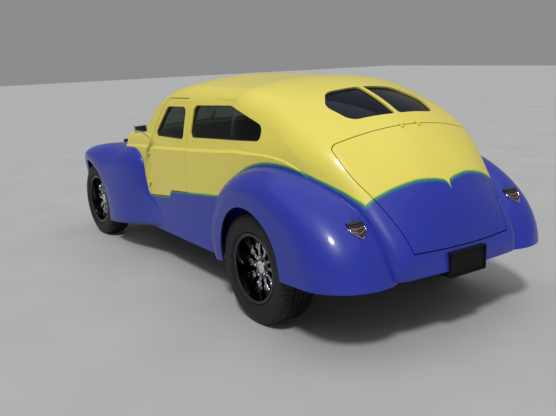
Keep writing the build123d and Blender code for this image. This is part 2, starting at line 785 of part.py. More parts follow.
# Tail lamps, standing out of the rear fenders
with BuildPart() as tail_lamp:
    add(fender_volume(REAR_ARCH, REAR_FENDER_SECTIONS, -TAIL_LAMP_DEPTH))
    add(fender_volume(REAR_ARCH, REAR_FENDER_SECTIONS, 0), mode=Mode.SUBTRACT)
with BuildPart() as tail_lamp_outline:
    with BuildSketch(across(TAIL_LAMP[0] - 150)):
        with Locations((TAIL_LAMP[1], TAIL_LAMP[2])):
            Polygon(*TAIL_LAMP_OUTLINE, align=None)
    extrude(amount=300)
with BuildPart() as tail_light:
    add(tail_lamp.part)
    add(tail_lamp_outline.part, mode=Mode.INTERSECT)
save_both(tail_light, "tail_lamps")

# Recess for the rear plate
with BuildPart() as plate_box:
    block(-REAR_OVERHANG, -900, -PLATE_HALF, PLATE_HALF, PLATE_LOW, PLATE_HIGH)
    block(-REAR_OVERHANG, -REAR_OVERHANG + PLATE_RECESS, PLATE_RIM - PLATE_HALF, PLATE_HALF - PLATE_RIM,
          PLATE_LOW + PLATE_RIM, PLATE_HIGH - PLATE_RIM, mode=Mode.SUBTRACT)
    add(plate_holes.part, mode=Mode.SUBTRACT)
    add(body_form.part, mode=Mode.SUBTRACT)
save(plate_box, "plate_box")

# Mirrors on the doors
with BuildPart() as mirror_head:
    bar(at(1640, 700, 985), at(1606, 850, 1100), MIRROR_ARM)
    add(door_panel.part, mode=Mode.SUBTRACT)
    block(1590, 1620, 800, 900, 1090, 1145)
    fillet(edges().filter_by(Axis.X).group_by(Axis.Z)[-1], radius=10)
with BuildPart() as door_mirror:
    add(mirror_head.part.solids().sort_by(Axis.Y)[-1])
save_pair(door_mirror, "mirror")

# Floor
floor_top = [(station, height + FLOOR_SKIN) for station, height in reversed(FLOOR_LINE)]
tub_bars = ((-1000, -TUB_INNER_Y), (TUB_INNER_Y, 1000))
with BuildPart() as toe_board:
    add(profile_volume([*FLOOR_LINE, *floor_top], -TOE_HALF, TOE_HALF))
    block(-2000, DOOR_FRONT, -1000, 1000, 0, 2000, mode=Mode.SUBTRACT)
with BuildPart() as floor_pan:
    add(profile_volume([*FLOOR_LINE, *floor_top], -FLOOR_HALF, FLOOR_HALF))
    add(body_room.part, mode=Mode.INTERSECT)
    block(DOOR_FRONT, 3000, -1000, 1000, 0, 2000, mode=Mode.SUBTRACT)
    for right, left in tub_bars:
        bar(at(0, right, REAR_TYRE_RADIUS), at(0, left, REAR_TYRE_RADIUS), TUB_RADIUS + TUB_SKIN, mode=Mode.SUBTRACT)
    add(toe_board.part)
    for rear, front, half, top in TUNNELS:
        block(rear, front, -half, half, FLOOR_LINE[2][1], top)
    for rear, front, half, top in TUNNELS:
        block(rear + FLOOR_SKIN, front, FLOOR_SKIN - half, half - FLOOR_SKIN, 0, top - FLOOR_SKIN,
              mode=Mode.SUBTRACT)
save(floor_pan, "floor_pan")

# Wheel tubs
with BuildPart() as wheel_tub:
    bar(at(0, TUB_INNER_Y, REAR_TYRE_RADIUS), at(0, 1000, REAR_TYRE_RADIUS), TUB_RADIUS + TUB_SKIN)
    bar(at(0, TUB_INNER_Y + TUB_SKIN, REAR_TYRE_RADIUS), at(0, 1000, REAR_TYRE_RADIUS), TUB_RADIUS,
        mode=Mode.SUBTRACT)
    add(body_room.part, mode=Mode.INTERSECT)
    block(-1000, 1000, 0, 1000, 0, TUB_BOTTOM, mode=Mode.SUBTRACT)
save_both(wheel_tub, "wheel_tubs")

# Parcel shelf and the panel behind the rear bench
with BuildPart() as rear_shelf:
    block(*SHELF)
    add(body_room.part, mode=Mode.INTERSECT)
    block(BULKHEAD_STATION - SHELF_SKIN, BULKHEAD_STATION, -REAR_BENCH_HALF, REAR_BENCH_HALF,
          FLOOR_LINE[0][1] + FLOOR_SKIN, SHELF[4])
save(rear_shelf, "rear_shelf")

# Benches and what they stand on
for name, profile, half in (
    ("front_cushion", FRONT_CUSHION, FRONT_BENCH_HALF),
    ("front_backrest", FRONT_BACKREST, FRONT_BENCH_HALF),
    ("rear_cushion", REAR_CUSHION, REAR_BENCH_HALF),
    ("rear_backrest", REAR_BACKREST, REAR_BENCH_HALF),
):
    with BuildPart() as cushion:
        add(profile_volume(profile, -half, half))
    save(cushion, name)

floor_low = FLOOR_LINE[2][1] + FLOOR_SKIN
floor_high = FLOOR_LINE[0][1] + FLOOR_SKIN
with BuildPart() as seat_bases:
    block(930, 1350, 40 - FRONT_BENCH_HALF, FRONT_BENCH_HALF - 40, floor_low, FRONT_CUSHION[0][1] - FIT)
    block(900, 1400, -TUNNELS[0][2], TUNNELS[0][2], 0, TUNNELS[0][3], mode=Mode.SUBTRACT)
    add(profile_volume(((95, 500), (480, 500), (480, REAR_CUSHION[0][1] - FIT), (95, REAR_CUSHION[0][1] - FIT)),
                       20 - REAR_BENCH_HALF, REAR_BENCH_HALF - 20))
    under_floor = [*floor_top, (FLOOR_LINE[0][0], 0), (FLOOR_LINE[-1][0], 0)]
    add(profile_volume(under_floor, -FLOOR_HALF, FLOOR_HALF), mode=Mode.SUBTRACT)
save(seat_bases, "seat_bases")

# Dashboard with its gauges
with BuildPart() as dashboard:
    block(*DASH)
    add(cowl_room.part, mode=Mode.INTERSECT)
    for y in (STEERING_CENTRE[1] - 65, STEERING_CENTRE[1] + 65):
        bar(at(DASH[0] - 8, y, 965), at(DASH[0], y, 965), GAUGE_RADIUS)
save(dashboard, "dashboard")

# Steering wheel and column
centre = at(*STEERING_CENTRE)
column = Vector(*at(*COLUMN_FOOT)) - Vector(*centre)
with BuildPart() as steering_wheel:
    bar(centre, at(*COLUMN_FOOT), COLUMN_RADIUS)
    split(bisect_by=across(FIREWALL_STATION), keep=Keep.BOTTOM)
    with Locations(Plane(origin=centre, x_dir=(0, 1, 0), z_dir=column)):
        Torus(STEERING_RADIUS, STEERING_RIM)
        Cylinder(34, 40)
        with PolarLocations(STEERING_RADIUS / 2, 3, start_angle=90):
            Box(STEERING_RADIUS, 26, 8)
save(steering_wheel, "steering_wheel")

# Frame rails, open towards the middle
rail_top = RAIL_LINE
rail_bottom = [(station, height - RAIL_HEIGHT) for station, height in reversed(RAIL_LINE)]
pocket_top = [(station, height - RAIL_WALL) for station, height in RAIL_LINE]
pocket_bottom = [(station, height - RAIL_HEIGHT + RAIL_WALL) for station, height in reversed(RAIL_LINE)]
with BuildPart() as frame_rail:
    add(profile_volume([*rail_top, *rail_bottom], RAIL_INNER_Y, RAIL_OUTER_Y))
    add(profile_volume([*pocket_top, *pocket_bottom], RAIL_INNER_Y, RAIL_OUTER_Y - RAIL_WALL), mode=Mode.SUBTRACT)
    block(*JACK_PAD)
save_pair(frame_rail, "frame_rail")

with BuildPart() as crossmembers:
    for rear, front, low, high in CROSSMEMBERS:
        block(rear, front, RAIL_WALL - RAIL_OUTER_Y, RAIL_OUTER_Y - RAIL_WALL, low, high)
save(crossmembers, "crossmembers")

# Engine: block, sump and finned covers
engine_outline = [*ENGINE_PROFILE, *[(-y, z) for y, z in reversed(ENGINE_PROFILE)]]
cover_angle = radians(COVER_ANGLE)
with BuildPart() as engine:
    with BuildSketch(across(ENGINE_REAR)):
        Polygon(*engine_outline, align=None)
    extrude(amount=ENGINE_FRONT - ENGINE_REAR)
    block(ENGINE_REAR, ENGINE_FRONT - 80, -100, 100, 300, 380)
    for side in (-1, 1):
        block(2500, 2560, min(side * 140, side * RAIL_INNER_Y), max(side * 140, side * RAIL_INNER_Y), 440, 478)
        cover_origin = at((ENGINE_REAR + ENGINE_FRONT) / 2, side * COVER_CENTRE[0], COVER_CENTRE[1])
        cover_facing = (0, side * sin(cover_angle), cos(cover_angle))
        with Locations(Plane(origin=cover_origin, x_dir=(1, 0, 0), z_dir=cover_facing)):
            Box(COVER_LENGTH, COVER_WIDTH, COVER_HEIGHT, align=(Align.CENTER, Align.CENTER, Align.MIN))
            with GridLocations(0, COVER_WIDTH / FINS, 1, FINS):
                Box(COVER_LENGTH - 40, 6, COVER_HEIGHT + 8, align=(Align.CENTER, Align.CENTER, Align.MIN))
save(engine, "engine")

with BuildPart() as intake:
    with BuildSketch(across(2380)):
        Polygon((-55, 640), (55, 640), (100, 682), (100, 760), (-100, 760), (-100, 682), align=None)
    extrude(amount=320)
    bar(at(2540, 0, 760), at(2540, 0, 830), 62)
    bar(at(2540, 0, 830), at(2540, 0, 895), 170)
    bar(at(2540, 0, 895), at(2540, 0, 905), 150)
    bar(at(2540, 0, 905), at(2540, 0, 925), 12)
save(intake, "intake")

with BuildPart() as header:
    bar(at(2330, HEADER_Y, HEADER_Z), at(2740, HEADER_Y, HEADER_Z), 28)
    for port in range(PORTS):
        station = 2370 + port * PORT_PITCH
        bar(at(station, 200, 556), at(station, HEADER_Y, HEADER_Z), 20)
    add(engine.part, mode=Mode.SUBTRACT)
save_both(header, "headers")

with BuildPart() as front_drive:
    bar(at(ENGINE_FRONT, 0, 480), at(ENGINE_FRONT + 28, 0, 480), 75)
    bar(at(ENGINE_FRONT, 0, 640), at(ENGINE_FRONT + 78, 0, 640), 38)
    bar(at(ENGINE_FRONT, 0, 640), at(ENGINE_FRONT + 28, 0, 640), 68)
    bar(at(ENGINE_FRONT - 120, -200, 812), at(ENGINE_FRONT + 28, -200, 812), 52)
    block(ENGINE_FRONT, ENGINE_FRONT + 14, -225, -60, 680, 800)
    with Locations(Plane(origin=at(ENGINE_FRONT + 70, 0, 640), x_dir=(0, 1, 0), z_dir=(1, 0, 0))):
        with PolarLocations(100, 6):
            Box(130, 62, 8, rotation=(28, 0, 0))
    add(engine.part, mode=Mode.SUBTRACT)
save(front_drive, "front_drive")

with BuildPart() as gearbox:
    bar(at(FIREWALL_STATION + 30, 0, 480), at(ENGINE_REAR, 0, 480), BELL_RADIUS)
    bar(at(1600, 0, 460), at(ENGINE_REAR - 20, 0, 480), GEARBOX_RADIUS)
save(gearbox, "gearbox")

with BuildPart() as drive_shaft:
    bar(at(170 + FIT, 0, 372), at(1640, 0, 452), SHAFT_RADIUS)
    add(gearbox.part, mode=Mode.SUBTRACT)
save(drive_shaft, "drive_shaft")

# Exhaust
with BuildPart() as exhaust:
    points = [at(*point) for point in EXHAUST_PATH]
    for start, end in zip(points, points[1:]):
        bar(start, end, EXHAUST_RADIUS)
    for point in points[:-1]:
        with Locations(point):
            Sphere(EXHAUST_RADIUS)
    bar(at(MUFFLER[0], *EXHAUST_PATH[-1][1:]), at(MUFFLER[1], *EXHAUST_PATH[-1][1:]), MUFFLER[2])
    block(1740, 1760, 232, 248, 330, CROSSMEMBERS[1][2])
save_both(exhaust, "exhaust")

with BuildPart() as fuel_tank:
    block(-820, -480, -300, 300, 425, FLOOR_LINE[0][1])
    fillet(edges().filter_by(Axis.Y), radius=30)
save(fuel_tank, "fuel_tank")

# Cooling and nose
with BuildPart() as radiator:
    block(*RADIATOR)
    block(*SUPPORT)
save(radiator, "radiator")

with BuildPart() as grille_nose:
    with BuildSketch(level(NOSE_LOW)):
        with BuildLine():
            Line((NOSE_REAR, -NOSE_HALF), (NOSE_REAR, NOSE_HALF))
            ThreePointArc((NOSE_REAR, NOSE_HALF), (3284, 262), (3370, 0))
            ThreePointArc((NOSE_REAR, -NOSE_HALF), (3284, -262), (3370, 0))
        make_face()
    extrude(amount=NOSE_HIGH - NOSE_LOW)
    with BuildSketch(level(NOSE_LOW)):
        with BuildLine():
            Polyline((NOSE_REAR, NOSE_SKIN - NOSE_HALF), (NOSE_REAR, NOSE_HALF - NOSE_SKIN))
            ThreePointArc((NOSE_REAR, NOSE_HALF - NOSE_SKIN), (3272, 251), (3354, 0))
            ThreePointArc((NOSE_REAR, NOSE_SKIN - NOSE_HALF), (3272, -251), (3354, 0))
        make_face()
    extrude(amount=NOSE_HIGH - NOSE_LOW - NOSE_SKIN, mode=Mode.SUBTRACT)
    for slot in range(SLOTS):
        low = 380 + slot * SLOT_PITCH
        block(NOSE_REAR + 10, 3400, -325, -14, low, low + SLOT_HEIGHT, mode=Mode.SUBTRACT)
        block(NOSE_REAR + 10, 3400, 14, 325, low, low + SLOT_HEIGHT, mode=Mode.SUBTRACT)
save(grille_nose, "grille_nose")

# Rear axle and springs
with BuildPart() as rear_axle:
    with Locations(at(0, 0, REAR_TYRE_RADIUS)):
        Sphere(BANJO_RADIUS)
    bar(at(0, 0, REAR_TYRE_RADIUS), at(170, 0, 372), 55)
    bar(at(0, -DRUM_INNER_Y, REAR_TYRE_RADIUS), at(0, DRUM_INNER_Y, REAR_TYRE_RADIUS), AXLE_TUBE_RADIUS)
    for side in (-1, 1):
        drum_start = at(0, side * DRUM_INNER_Y, REAR_TYRE_RADIUS)
        drum_end = at(0, side * DRUM_OUTER_Y, REAR_TYRE_RADIUS)
        bar(drum_start, drum_end, DRUM_RADIUS)
        bar(drum_end, at(0, side * (REAR_WHEEL_Y + 46), REAR_TYRE_RADIUS), BORE_RADIUS - BEARING_GAP)
save(rear_axle, "rear_axle")

spring_mid = REAR_TYRE_RADIUS - AXLE_TUBE_RADIUS - SPRING_THICKNESS
with BuildPart() as rear_spring:
    with BuildSketch(lengthwise(SPRING_Y + SPRING_WIDTH / 2)):
        with BuildLine():
            ThreePointArc((-540, 425), (0, spring_mid), (600, 425))
            ThreePointArc((-540, 425 + SPRING_THICKNESS), (0, spring_mid + SPRING_THICKNESS),
                          (600, 425 + SPRING_THICKNESS))
            Line((-540, 425), (-540, 425 + SPRING_THICKNESS))
            Line((600, 425), (600, 425 + SPRING_THICKNESS))
        make_face()
    extrude(amount=SPRING_WIDTH)
    block(-560, -520, RAIL_OUTER_Y, SPRING_Y + SPRING_WIDTH / 2, 430, 500)
    block(580, 620, RAIL_OUTER_Y, SPRING_Y + SPRING_WIDTH / 2, 415, FLOOR_LINE[2][1] - FIT)
save_both(rear_spring, "rear_springs")

# Front axle, spring and radius rods
with BuildPart() as front_axle:
    points = [at(WHEELBASE, y, z) for y, z in AXLE_DROP]
    for start, end in zip(points, points[1:]):
        bar(start, end, AXLE_RADIUS)
    for point in points[1:-1]:
        with Locations(point):
            Sphere(AXLE_RADIUS)
    for side in (-1, 1):
        pin = side * KINGPIN_Y
        boss_low = FRONT_TYRE_RADIUS - BOSS_HALF
        boss_high = FRONT_TYRE_RADIUS + BOSS_HALF
        bar(at(WHEELBASE, pin, 0), at(WHEELBASE, pin, boss_low), BOSS_RADIUS + 6, mode=Mode.SUBTRACT)
        bar(at(WHEELBASE, pin, boss_low), at(WHEELBASE, pin, boss_high), BOSS_RADIUS)
        bar(at(WHEELBASE, pin, boss_low), at(WHEELBASE, pin, boss_high), KINGPIN_RADIUS + BEARING_GAP,
            mode=Mode.SUBTRACT)
        bar(at(WHEELBASE - 10, side * 400, 250), at(2150, side * 360, 328), 12)
save(front_axle, "front_axle")

with BuildPart() as front_spring:
    with BuildSketch(across(2830)):
        with BuildLine():
            ThreePointArc((-430, 290), (0, 358), (430, 290))
            ThreePointArc((-430, 312), (0, CROSSMEMBERS[2][2]), (430, 312))
            Line((-430, 290), (-430, 312))
            Line((430, 290), (430, 312))
        make_face()
    extrude(amount=50)
    for side in (-1, 1):
        block(2838, 2872, min(side * 400, side * 430), max(side * 400, side * 430), 250, 300)
    add(front_axle.part, mode=Mode.SUBTRACT)
save(front_spring, "front_spring")

# Steering knuckles, each turning about its own upright pin
arm_low = FRONT_TYRE_RADIUS - BOSS_HALF - KNUCKLE_GAP - ARM_THICKNESS
arm_high = FRONT_TYRE_RADIUS + BOSS_HALF + KNUCKLE_GAP
plate_y = KINGPIN_Y + 55
with BuildPart() as knuckle:
    bar(at(WHEELBASE, KINGPIN_Y, arm_low), at(WHEELBASE, KINGPIN_Y, arm_high + ARM_THICKNESS), KINGPIN_RADIUS)
    for low in (arm_low, arm_high):
        bar(at(WHEELBASE, KINGPIN_Y, low), at(WHEELBASE, KINGPIN_Y, low + ARM_THICKNESS), BOSS_RADIUS - 2)
        block(WHEELBASE - 22, WHEELBASE + 22, KINGPIN_Y, plate_y, low, low + ARM_THICKNESS)
    block(WHEELBASE - 22, WHEELBASE + 22, KINGPIN_Y + 31, plate_y, arm_low, arm_high + ARM_THICKNESS)
    block(WHEELBASE - 150, WHEELBASE, KINGPIN_Y + 10, KINGPIN_Y + 30, arm_low, arm_low + ARM_THICKNESS)
    bar(at(WHEELBASE, plate_y, FRONT_TYRE_RADIUS), at(WHEELBASE, plate_y + 15, FRONT_TYRE_RADIUS), DRUM_RADIUS)
    bar(at(WHEELBASE, plate_y + 15, FRONT_TYRE_RADIUS), at(WHEELBASE, FRONT_WHEEL_Y + 36, FRONT_TYRE_RADIUS),
        BORE_RADIUS - BEARING_GAP)
save_pair(knuckle, "knuckle")

# Wheels
for place, station, wheel_y, tyre_radius, tyre_width, hub_rear, hub_front in (
    ("rear", 0, REAR_WHEEL_Y, REAR_TYRE_RADIUS, REAR_TYRE_WIDTH, -62, 50),
    ("front", WHEELBASE, FRONT_WHEEL_Y, FRONT_TYRE_RADIUS, FRONT_TYRE_WIDTH, -40, 40),
):
    half = tyre_width / 2
    bead = half - BEAD_INSET
    section = Plane(origin=at(station, wheel_y, tyre_radius), x_dir=(0, 1, 0), z_dir=(1, 0, 0))
    spin = Axis(at(station, wheel_y, tyre_radius), (0, 1, 0))
    tyre_side = ((bead, RIM_SEAT_RADIUS), (half, SIDEWALL_RADIUS), (half, tyre_radius - SHOULDER[1]),
                 (half - SHOULDER[0], tyre_radius))
    with BuildPart() as tyre:
        with BuildSketch(section):
            Polygon(*tyre_side, *[(-a, r) for a, r in reversed(tyre_side)], align=None)
        revolve(axis=spin)
    save_pair(tyre, f"tyre_{place}")

    seat = RIM_SEAT_RADIUS - FIT
    well = RIM_SEAT_RADIUS - RIM_WALL
    lip = bead + RIM_LIP + BEAD_INSET / 3
    rim_side = ((lip, well), (lip, RIM_LIP_RADIUS), (lip - RIM_LIP, RIM_LIP_RADIUS), (bead + FIT, seat))
    with BuildPart() as rim:
        with BuildSketch(section):
            Polygon(*rim_side, *[(-a, r) for a, r in reversed(rim_side)], align=None)
        revolve(axis=spin)
        bar(at(station, wheel_y + hub_rear, tyre_radius), at(station, wheel_y + hub_front, tyre_radius), HUB_RADIUS)
        with Locations(Plane(origin=at(station, wheel_y, tyre_radius), x_dir=(1, 0, 0), z_dir=(0, 1, 0))):
            with PolarLocations((HUB_RADIUS + well) / 2, SPOKES):
                with Locations((0, 0, hub_front - 6 - SPOKE_DEPTH / 2)):
                    Box(well - HUB_RADIUS + 10, SPOKE_WIDTH, SPOKE_DEPTH)
            with PolarLocations(LUG_CIRCLE_RADIUS, LUGS):
                with Locations((0, 0, hub_front)):
                    Cylinder(LUG_RADIUS, 12, align=(Align.CENTER, Align.CENTER, Align.MIN))
        bar(at(station, wheel_y + hub_rear, tyre_radius), at(station, wheel_y + hub_front, tyre_radius), BORE_RADIUS,
            mode=Mode.SUBTRACT)
    save_pair(rim, f"rim_{place}")
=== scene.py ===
"""The hot rod's looks: paint, glass, tyres, wheels, trim, cabin and engine bay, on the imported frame."""
import json
from math import cos, pi, radians, sin
import bmesh
import bpy
from mathutils import Matrix, Vector
from mathutils.bvhtree import BVHTree


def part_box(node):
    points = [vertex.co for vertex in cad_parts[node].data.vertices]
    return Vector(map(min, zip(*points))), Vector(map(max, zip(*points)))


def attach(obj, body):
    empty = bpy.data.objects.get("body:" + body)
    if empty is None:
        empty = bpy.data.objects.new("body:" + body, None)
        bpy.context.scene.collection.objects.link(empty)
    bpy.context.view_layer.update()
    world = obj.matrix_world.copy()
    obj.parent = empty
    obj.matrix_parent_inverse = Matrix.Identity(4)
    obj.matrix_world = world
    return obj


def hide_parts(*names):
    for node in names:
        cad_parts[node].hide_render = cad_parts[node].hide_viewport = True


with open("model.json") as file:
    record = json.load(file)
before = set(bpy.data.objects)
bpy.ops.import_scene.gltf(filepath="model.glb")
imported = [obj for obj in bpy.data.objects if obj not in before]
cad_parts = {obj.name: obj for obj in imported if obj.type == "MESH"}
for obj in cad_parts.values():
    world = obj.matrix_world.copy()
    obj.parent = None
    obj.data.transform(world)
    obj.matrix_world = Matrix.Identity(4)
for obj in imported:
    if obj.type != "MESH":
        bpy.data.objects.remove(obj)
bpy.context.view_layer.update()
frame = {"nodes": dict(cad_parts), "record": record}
nodes = frame["nodes"]
AXLE_X = -1.1925
WHEELBASE = 2.845


def at(station, y, z):
    """A point from its station ahead of the rear axle, in metres."""
    return Vector((AXLE_X + station, y, z))


# Materials

def socket(tree, target, value):
    """Set a socket to a number or colour, or link it."""
    if isinstance(value, bpy.types.NodeSocket):
        tree.links.new(value, target)
    elif value is not None:
        target.default_value = value


def calc(tree, operation, first, second=None, third=None, clamp=False):
    """One math node."""
    node = tree.nodes.new("ShaderNodeMath")
    node.operation = operation
    node.use_clamp = clamp
    for target, value in zip(node.inputs, (first, second, third)):
        socket(tree, target, value)
    return node.outputs[0]


def ramp(tree, value, stops, mode="LINEAR"):
    """A colour ramp from rows of position and colour."""
    node = tree.nodes.new("ShaderNodeValToRGB")
    node.color_ramp.interpolation = mode
    elements = node.color_ramp.elements
    while len(elements) < len(stops):
        elements.new(0.5)
    for element, (place, colour) in zip(elements, stops):
        element.position = place
        element.color = (*colour, 1)
    socket(tree, node.inputs[0], value)
    return node.outputs[0]


def curve_node(tree, value, points, sharp=False):
    """A float curve through points in the unit square."""
    node = tree.nodes.new("ShaderNodeFloatCurve")
    line = node.mapping.curves[0]
    line.points[0].location = points[0]
    line.points[1].location = points[-1]
    for point in points[1:-1]:
        line.points.new(*point)
    if sharp:
        for point in line.points:
            point.handle_type = "VECTOR"
    node.mapping.update()
    socket(tree, node.inputs["Value"], value)
    return node.outputs[0]


def spots(tree, coordinates, scale, detail=3.0, rough=0.5):
    """A noise texture's value."""
    node = tree.nodes.new("ShaderNodeTexNoise")
    node.inputs["Scale"].default_value = scale
    node.inputs["Detail"].default_value = detail
    node.inputs["Roughness"].default_value = rough
    socket(tree, node.inputs["Vector"], coordinates)
    return node.outputs["Fac"] if "Fac" in node.outputs else node.outputs[0]


def parts_of(tree, vector):
    """A vector's x, y and z."""
    node = tree.nodes.new("ShaderNodeSeparateXYZ")
    tree.links.new(vector, node.inputs[0])
    return node.outputs


def base(name, **values):
    """A new material with one Principled shader; values are set on its sockets."""
    made = bpy.data.materials.new(name)
    made.use_nodes = True
    tree = made.node_tree
    shader = tree.nodes["Principled BSDF"]
    for key, value in values.items():
        shader.inputs[key.replace("_", " ")].default_value = value
    place = tree.nodes.new("ShaderNodeTexCoord").outputs["Object"]
    return made, tree, shader, place


def bumped(tree, shader, height, strength, distance, soften=None):
    """Drive the shader's normal with a height, over edges softened to a radius."""
    node = tree.nodes.new("ShaderNodeBump")
    if soften:
        rounded = tree.nodes.new("ShaderNodeBevel")
        rounded.samples = 8
        socket(tree, rounded.inputs["Radius"], soften)
        tree.links.new(rounded.outputs[0], node.inputs["Normal"])
    node.inputs["Strength"].default_value = strength
    node.inputs["Distance"].default_value = distance
    socket(tree, node.inputs["Height"], height)
    tree.links.new(node.outputs[0], shader.inputs["Normal"])


def shade(colour, factor):
    return tuple(min(1.0, c * factor) for c in colour[:3])


def finish(name, colour, roughness, vary=0.12, scale=9.0, rough_vary=0.08, bump=0.1, bump_scale=180.0,
           bump_size=0.0006, **values):
    """A plain finish with uneven colour, uneven gloss and a fine surface."""
    made, tree, shader, place = base(name, **values)
    patches = spots(tree, place, scale, 4.0, 0.6)
    colours = ramp(tree, patches, ((0.3, shade(colour, 1 - vary)), (0.7, shade(colour, 1 + vary))))
    socket(tree, shader.inputs["Base Color"], colours)
    grain = spots(tree, place, scale * 5, 3.0, 0.6)
    gloss = calc(tree, "MULTIPLY_ADD", grain, 2 * rough_vary, roughness - rough_vary, clamp=True)
    socket(tree, shader.inputs["Roughness"], gloss)
    bumped(tree, shader, spots(tree, place, bump_scale, 2.0, 0.5), bump, bump_size)
    return made


YELLOW = (0.80, 0.69, 0.115)
BLUE = (0.022, 0.036, 0.36)

# Paint line over the rear fender: degrees back from upright about a point, and metres from it
ARC_CENTRE = (-0.025, 0.383)
ARC = (
    (-75, 0.50), (-57.6, 0.660), (-48.4, 0.643), (-32, 0.625), (-15.5, 0.630), (-3.1, 0.639), (7.6, 0.650),
    (16.4, 0.664), (25.3, 0.683), (33.3, 0.7065), (40.4, 0.735), (46.8, 0.766), (52.8, 0.797), (58.5, 0.831),
    (70, 0.91),
)
# Paint line across the tail: distance from the middle and height, in metres
TAIL = (
    (0.0, 0.885), (0.014, 0.927), (0.05, 0.941), (0.118, 0.951), (0.20, 0.953), (0.26, 0.946),
    (0.32, 0.934), (0.38, 0.918), (0.43, 0.900), (0.48, 0.878), (0.525, 0.850), (0.558, 0.816),
    (0.60, 0.768), (1.0, 0.70),
)
# Paint line along the side: station and height, in metres
SIDE = ((0.0, 0.02), (0.42, 0.02), (0.43, 0.744), (1.302, 0.652), (1.345, 0.600), (1.702, 0.560), (2.5, 0.50))
SIDE_LENGTH = SIDE[-1][0]
# Colours across the paint line, from yellow through green to blue
LINE_COLOURS = (
    (0.0, YELLOW), (0.26, YELLOW), (0.38, (0.50, 0.62, 0.10)), (0.47, (0.07, 0.30, 0.10)),
    (0.62, (0.035, 0.17, 0.22)), (0.86, BLUE), (1.0, BLUE),
)
# The arc belongs to the fenders, outside this distance from the middle
FENDER_INNER_Y = 0.52
# The tail's line lies behind this station
TAIL_STATION = -0.45
# Middle, half length and lowest height of the roof stretch whose normals are softened, and the radius
ROOF_SOFTENED = (0.45, 0.25, 1.37, 0.09)
PAINT_ROUGHNESS = 0.34
PAINT_COAT = 0.25
PAINT = {
    "Roughness": PAINT_ROUGHNESS, "IOR": 1.45, "Specular_IOR_Level": 0.36,
    "Coat_Weight": PAINT_COAT, "Coat_Roughness": 0.10,
}
# Height about which the inside of a fender is told from its outside
ARCH_HEIGHT = 0.35
# Painted shade: black for fender faces turned in to the wheel arch and faces turned down
ARCH_SHADE_BLACK = (0.010, 0.010, 0.011)


def car_paint(name):
    """Gloss yellow over blue with a soft green line where they meet."""
    made, tree, shader, place = base(name, **PAINT)
    x, y, height = parts_of(tree, place)
    station = calc(tree, "SUBTRACT", x, AXLE_X)
    side = calc(tree, "ABSOLUTE", y)
    back = calc(tree, "SUBTRACT", ARC_CENTRE[0], station)
    above = calc(tree, "SUBTRACT", height, ARC_CENTRE[1])
    angle = calc(tree, "ARCTAN2", back, above)
    turn = calc(tree, "MULTIPLY_ADD", angle, 1 / pi, 0.5, clamp=True)
    reach = calc(tree, "SQRT", calc(tree, "ADD", calc(tree, "MULTIPLY", back, back),
                                    calc(tree, "MULTIPLY", above, above)))
    arc_points = [(0.0, 0.2)] + [(0.5 + a / 180, r) for a, r in ARC] + [(1.0, 0.99)]
    arc = calc(tree, "SUBTRACT", curve_node(tree, turn, arc_points), reach)
    arc = calc(tree, "SUBTRACT", arc, calc(tree, "LESS_THAN", side, FENDER_INNER_Y))
    tail = calc(tree, "SUBTRACT", curve_node(tree, side, list(TAIL)), height)
    tail = calc(tree, "SUBTRACT", tail, calc(tree, "GREATER_THAN", station, TAIL_STATION))
    along = calc(tree, "DIVIDE", station, SIDE_LENGTH, clamp=True)
    side_points = [(s / SIDE_LENGTH, z) for s, z in SIDE]
    line = calc(tree, "SUBTRACT", curve_node(tree, along, side_points, sharp=True), height)
    inside = calc(tree, "MAXIMUM", calc(tree, "MAXIMUM", arc, tail), line)
    wander = calc(tree, "MULTIPLY_ADD", spots(tree, place, 14.0, 2.0), 0.004, -0.002)
    depth = calc(tree, "MULTIPLY_ADD", calc(tree, "ADD", inside, wander), 20.0, 0.4, clamp=True)
    colours = ramp(tree, depth, LINE_COLOURS)
    cloud = calc(tree, "MULTIPLY_ADD", spots(tree, place, 2.2, 2.0), 0.10, 0.95)
    tint = tree.nodes.new("ShaderNodeVectorMath")
    tint.operation = "SCALE"
    tree.links.new(colours, tint.inputs[0])
    tree.links.new(cloud, tint.inputs["Scale"])
    tree.links.new(tint.outputs[0], shader.inputs["Base Color"])
    middle, half, lowest, radius = ROOF_SOFTENED
    away = calc(tree, "ABSOLUTE", calc(tree, "SUBTRACT", station, middle))
    near = calc(tree, "LESS_THAN", away, half)
    roof = calc(tree, "MULTIPLY", calc(tree, "GREATER_THAN", height, lowest), near)
    soften = calc(tree, "MULTIPLY", roof, radius)
    bumped(tree, shader, spots(tree, place, 260.0, 1.0), 0.04, 0.0004, soften=soften)
    return made


